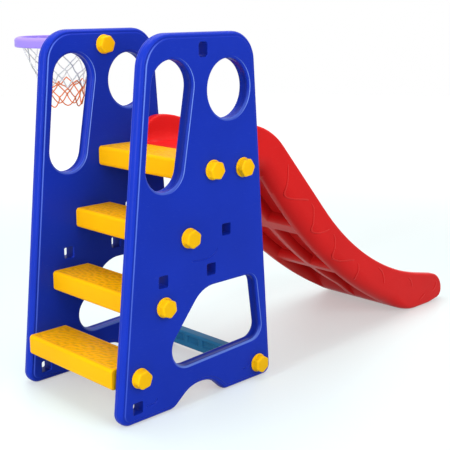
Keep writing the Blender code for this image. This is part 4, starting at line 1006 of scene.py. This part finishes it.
columns = np.arange(NET_COLUMNS)
level_1, level_2, level_3, level_4 = (
    ring_spot(radius, columns + (0.5 if row % 2 == 0 else 0.0), height)
    + net_dice.normal(0, 0.0015, (NET_COLUMNS, 3)) for row, (height, radius) in enumerate(NET_LEVELS))
loop_height = PEG_TOP + CORD_RADIUS + 0.0006
half_loop = LOOP_HALF / LOOP_RADIUS * NET_COLUMNS / (2 * np.pi)
lap, swing = np.linspace(-1, 1, 13), np.linspace(0, 1, 15)
wave = np.sin(np.pi * swing)
white, orange = [], []
for column in columns:
    before, after = (column - 1) % NET_COLUMNS, (column + 1) % NET_COLUMNS
    over = ring_spot(LOOP_RADIUS, column + half_loop * lap, loop_height - 0.008 * lap ** 2)
    white += [over, strand((over[0], level_1[before]), 0.0012), strand((over[-1], level_1[column]), 0.0012)]
    white += [strand((level_1[column], level_2[other]), 0.0020) for other in (column, after)]
    white += [strand((level_2[column], level_3[other]), 0.0020) for other in (column, before)]
    orange += [strand((level_3[column], level_4[other]), 0.0015) for other in (column, after)]
    bight = ring_spot(HEM_RADIUS + 0.005 * (1 - wave), column + swing,
                      NET_LEVELS[-1][0] - HEM_DROP * wave ** 0.8)
    bight += wave[:, None] * net_dice.normal(0, 0.0025, 3)
    bight[0], bight[-1] = level_4[column], level_4[after]
    orange.append(bight)
    apex = level_2[column] * 0.55 + (level_3[column] + level_3[before]) * 0.225
    apex += apex * (1, 1, 0) / np.hypot(*apex[:2]) * 0.003
    orange += [strand((apex, level_3[other]), 0.0025) for other in (column, before)]
net("net_white_cords", CORD_WHITE, white, [*level_1, *level_2])
net("net_orange_cords", CORD_ORANGE, orange, [*level_3, *level_4])


# Floor, light and camera
# A plain white studio floor that keeps the shadow, a broad lamp overhead, a soft one beside the camera
# and a tall one at the steps' side that runs down the rounded edges.


def seen_white(tree, strength):
    """A strength for what the camera, gloss and glass see, and 0 for light that falls on things."""
    path = tree.nodes.new("ShaderNodeLightPath").outputs
    seen = maths(tree, "MAXIMUM", path["Is Camera Ray"], path["Is Glossy Ray"])
    seen = maths(tree, "MAXIMUM", seen, path["Is Transmission Ray"])
    return maths(tree, "MULTIPLY", seen, strength)


def floor_disc():
    """A flat round floor under everything, plain white, and whiter still far out."""
    radius = np.array([0.0, 1.0, 3.0, 9.0])[:, None]
    angle = round_angles(64)
    points = np.stack([radius * np.cos(angle), radius * np.sin(angle), np.zeros((4, 64))], 2)
    mesh = bpy.data.meshes.new("studio_floor")
    mesh.from_pydata(points.reshape(-1, 3).tolist(), [], grid_faces(4, 64).tolist())
    finish, tree, shader = new_finish("studio_floor")
    shader["Base Color"].default_value = (0.43, 0.56, 0.56, 1)
    shader["Roughness"].default_value = 0.42
    shader["Specular IOR Level"].default_value = 0.30
    place = output(tree, "TexCoord", out="Object")
    away = output(tree, "VectorMath", place, operation="LENGTH", out="Value")
    far = output(tree, "MapRange", away, From_Min=1.2, From_Max=4.0, interpolation_type="SMOOTHSTEP")
    feed(tree, shader["Emission Color"], mixed(tree, far, (1.02, 0.94, 0.94, 1), (1.66, 1.5, 1.5, 1)))
    feed(tree, shader["Emission Strength"], seen_white(tree, 0.42))
    mesh.materials.append(finish)
    placed("studio_floor", mesh)


floor_disc()
AMBIENT = 0.46
world = bpy.data.worlds.new("studio")
bpy.context.scene.world = world
world.use_nodes = True
sky = world.node_tree
background = sky.nodes["Background"].inputs
background["Color"].default_value = (1, 1, 1, 1)
feed(sky, background["Strength"], maths(sky, "MAXIMUM", seen_white(sky, 1.0), AMBIENT))


def lamp(name, plan_spot, plan_target, size, power):
    """A soft rectangular lamp that faces a spot."""
    light = bpy.data.lights.new(name, "AREA")
    light.shape, light.size, light.size_y = "RECTANGLE", *size
    light.energy = power
    made = placed(name, light)
    made.location = Vector(plan_spot) + Vector(PLAN)
    made.rotation_euler = (Vector(plan_target) - Vector(plan_spot)).to_track_quat("-Z", "Y").to_euler()


lamp("overhead", (0.75, 0.45, 3.1), (0.70, 0.05, 0.3), (2.4, 2.0), 56)
lamp("beside_camera", (0.2, -3.0, 1.9), (0.7, 0.0, 0.5), (3.0, 1.8), 54)
lamp("steps_side", (-2.6, -0.3, 1.5), (0.0, 0.0, 0.6), (0.22, 2.4), 62)

camera_data = bpy.data.cameras.new("camera")
camera_data.lens = 75.6
camera_data.sensor_width = 36.0
camera = placed("camera", camera_data)
camera.location = Vector((-1.53128, -2.20858, 1.18690)) + Vector(PLAN)
yaw, pitch = np.radians(45.326), np.radians(-13.397)
heading = Vector((np.cos(yaw) * np.cos(pitch), np.sin(yaw) * np.cos(pitch), np.sin(pitch)))
camera.rotation_euler = heading.to_track_quat("-Z", "Y").to_euler()
bpy.context.scene.camera = camera
bpy.context.scene.view_settings.view_transform = "Standard"
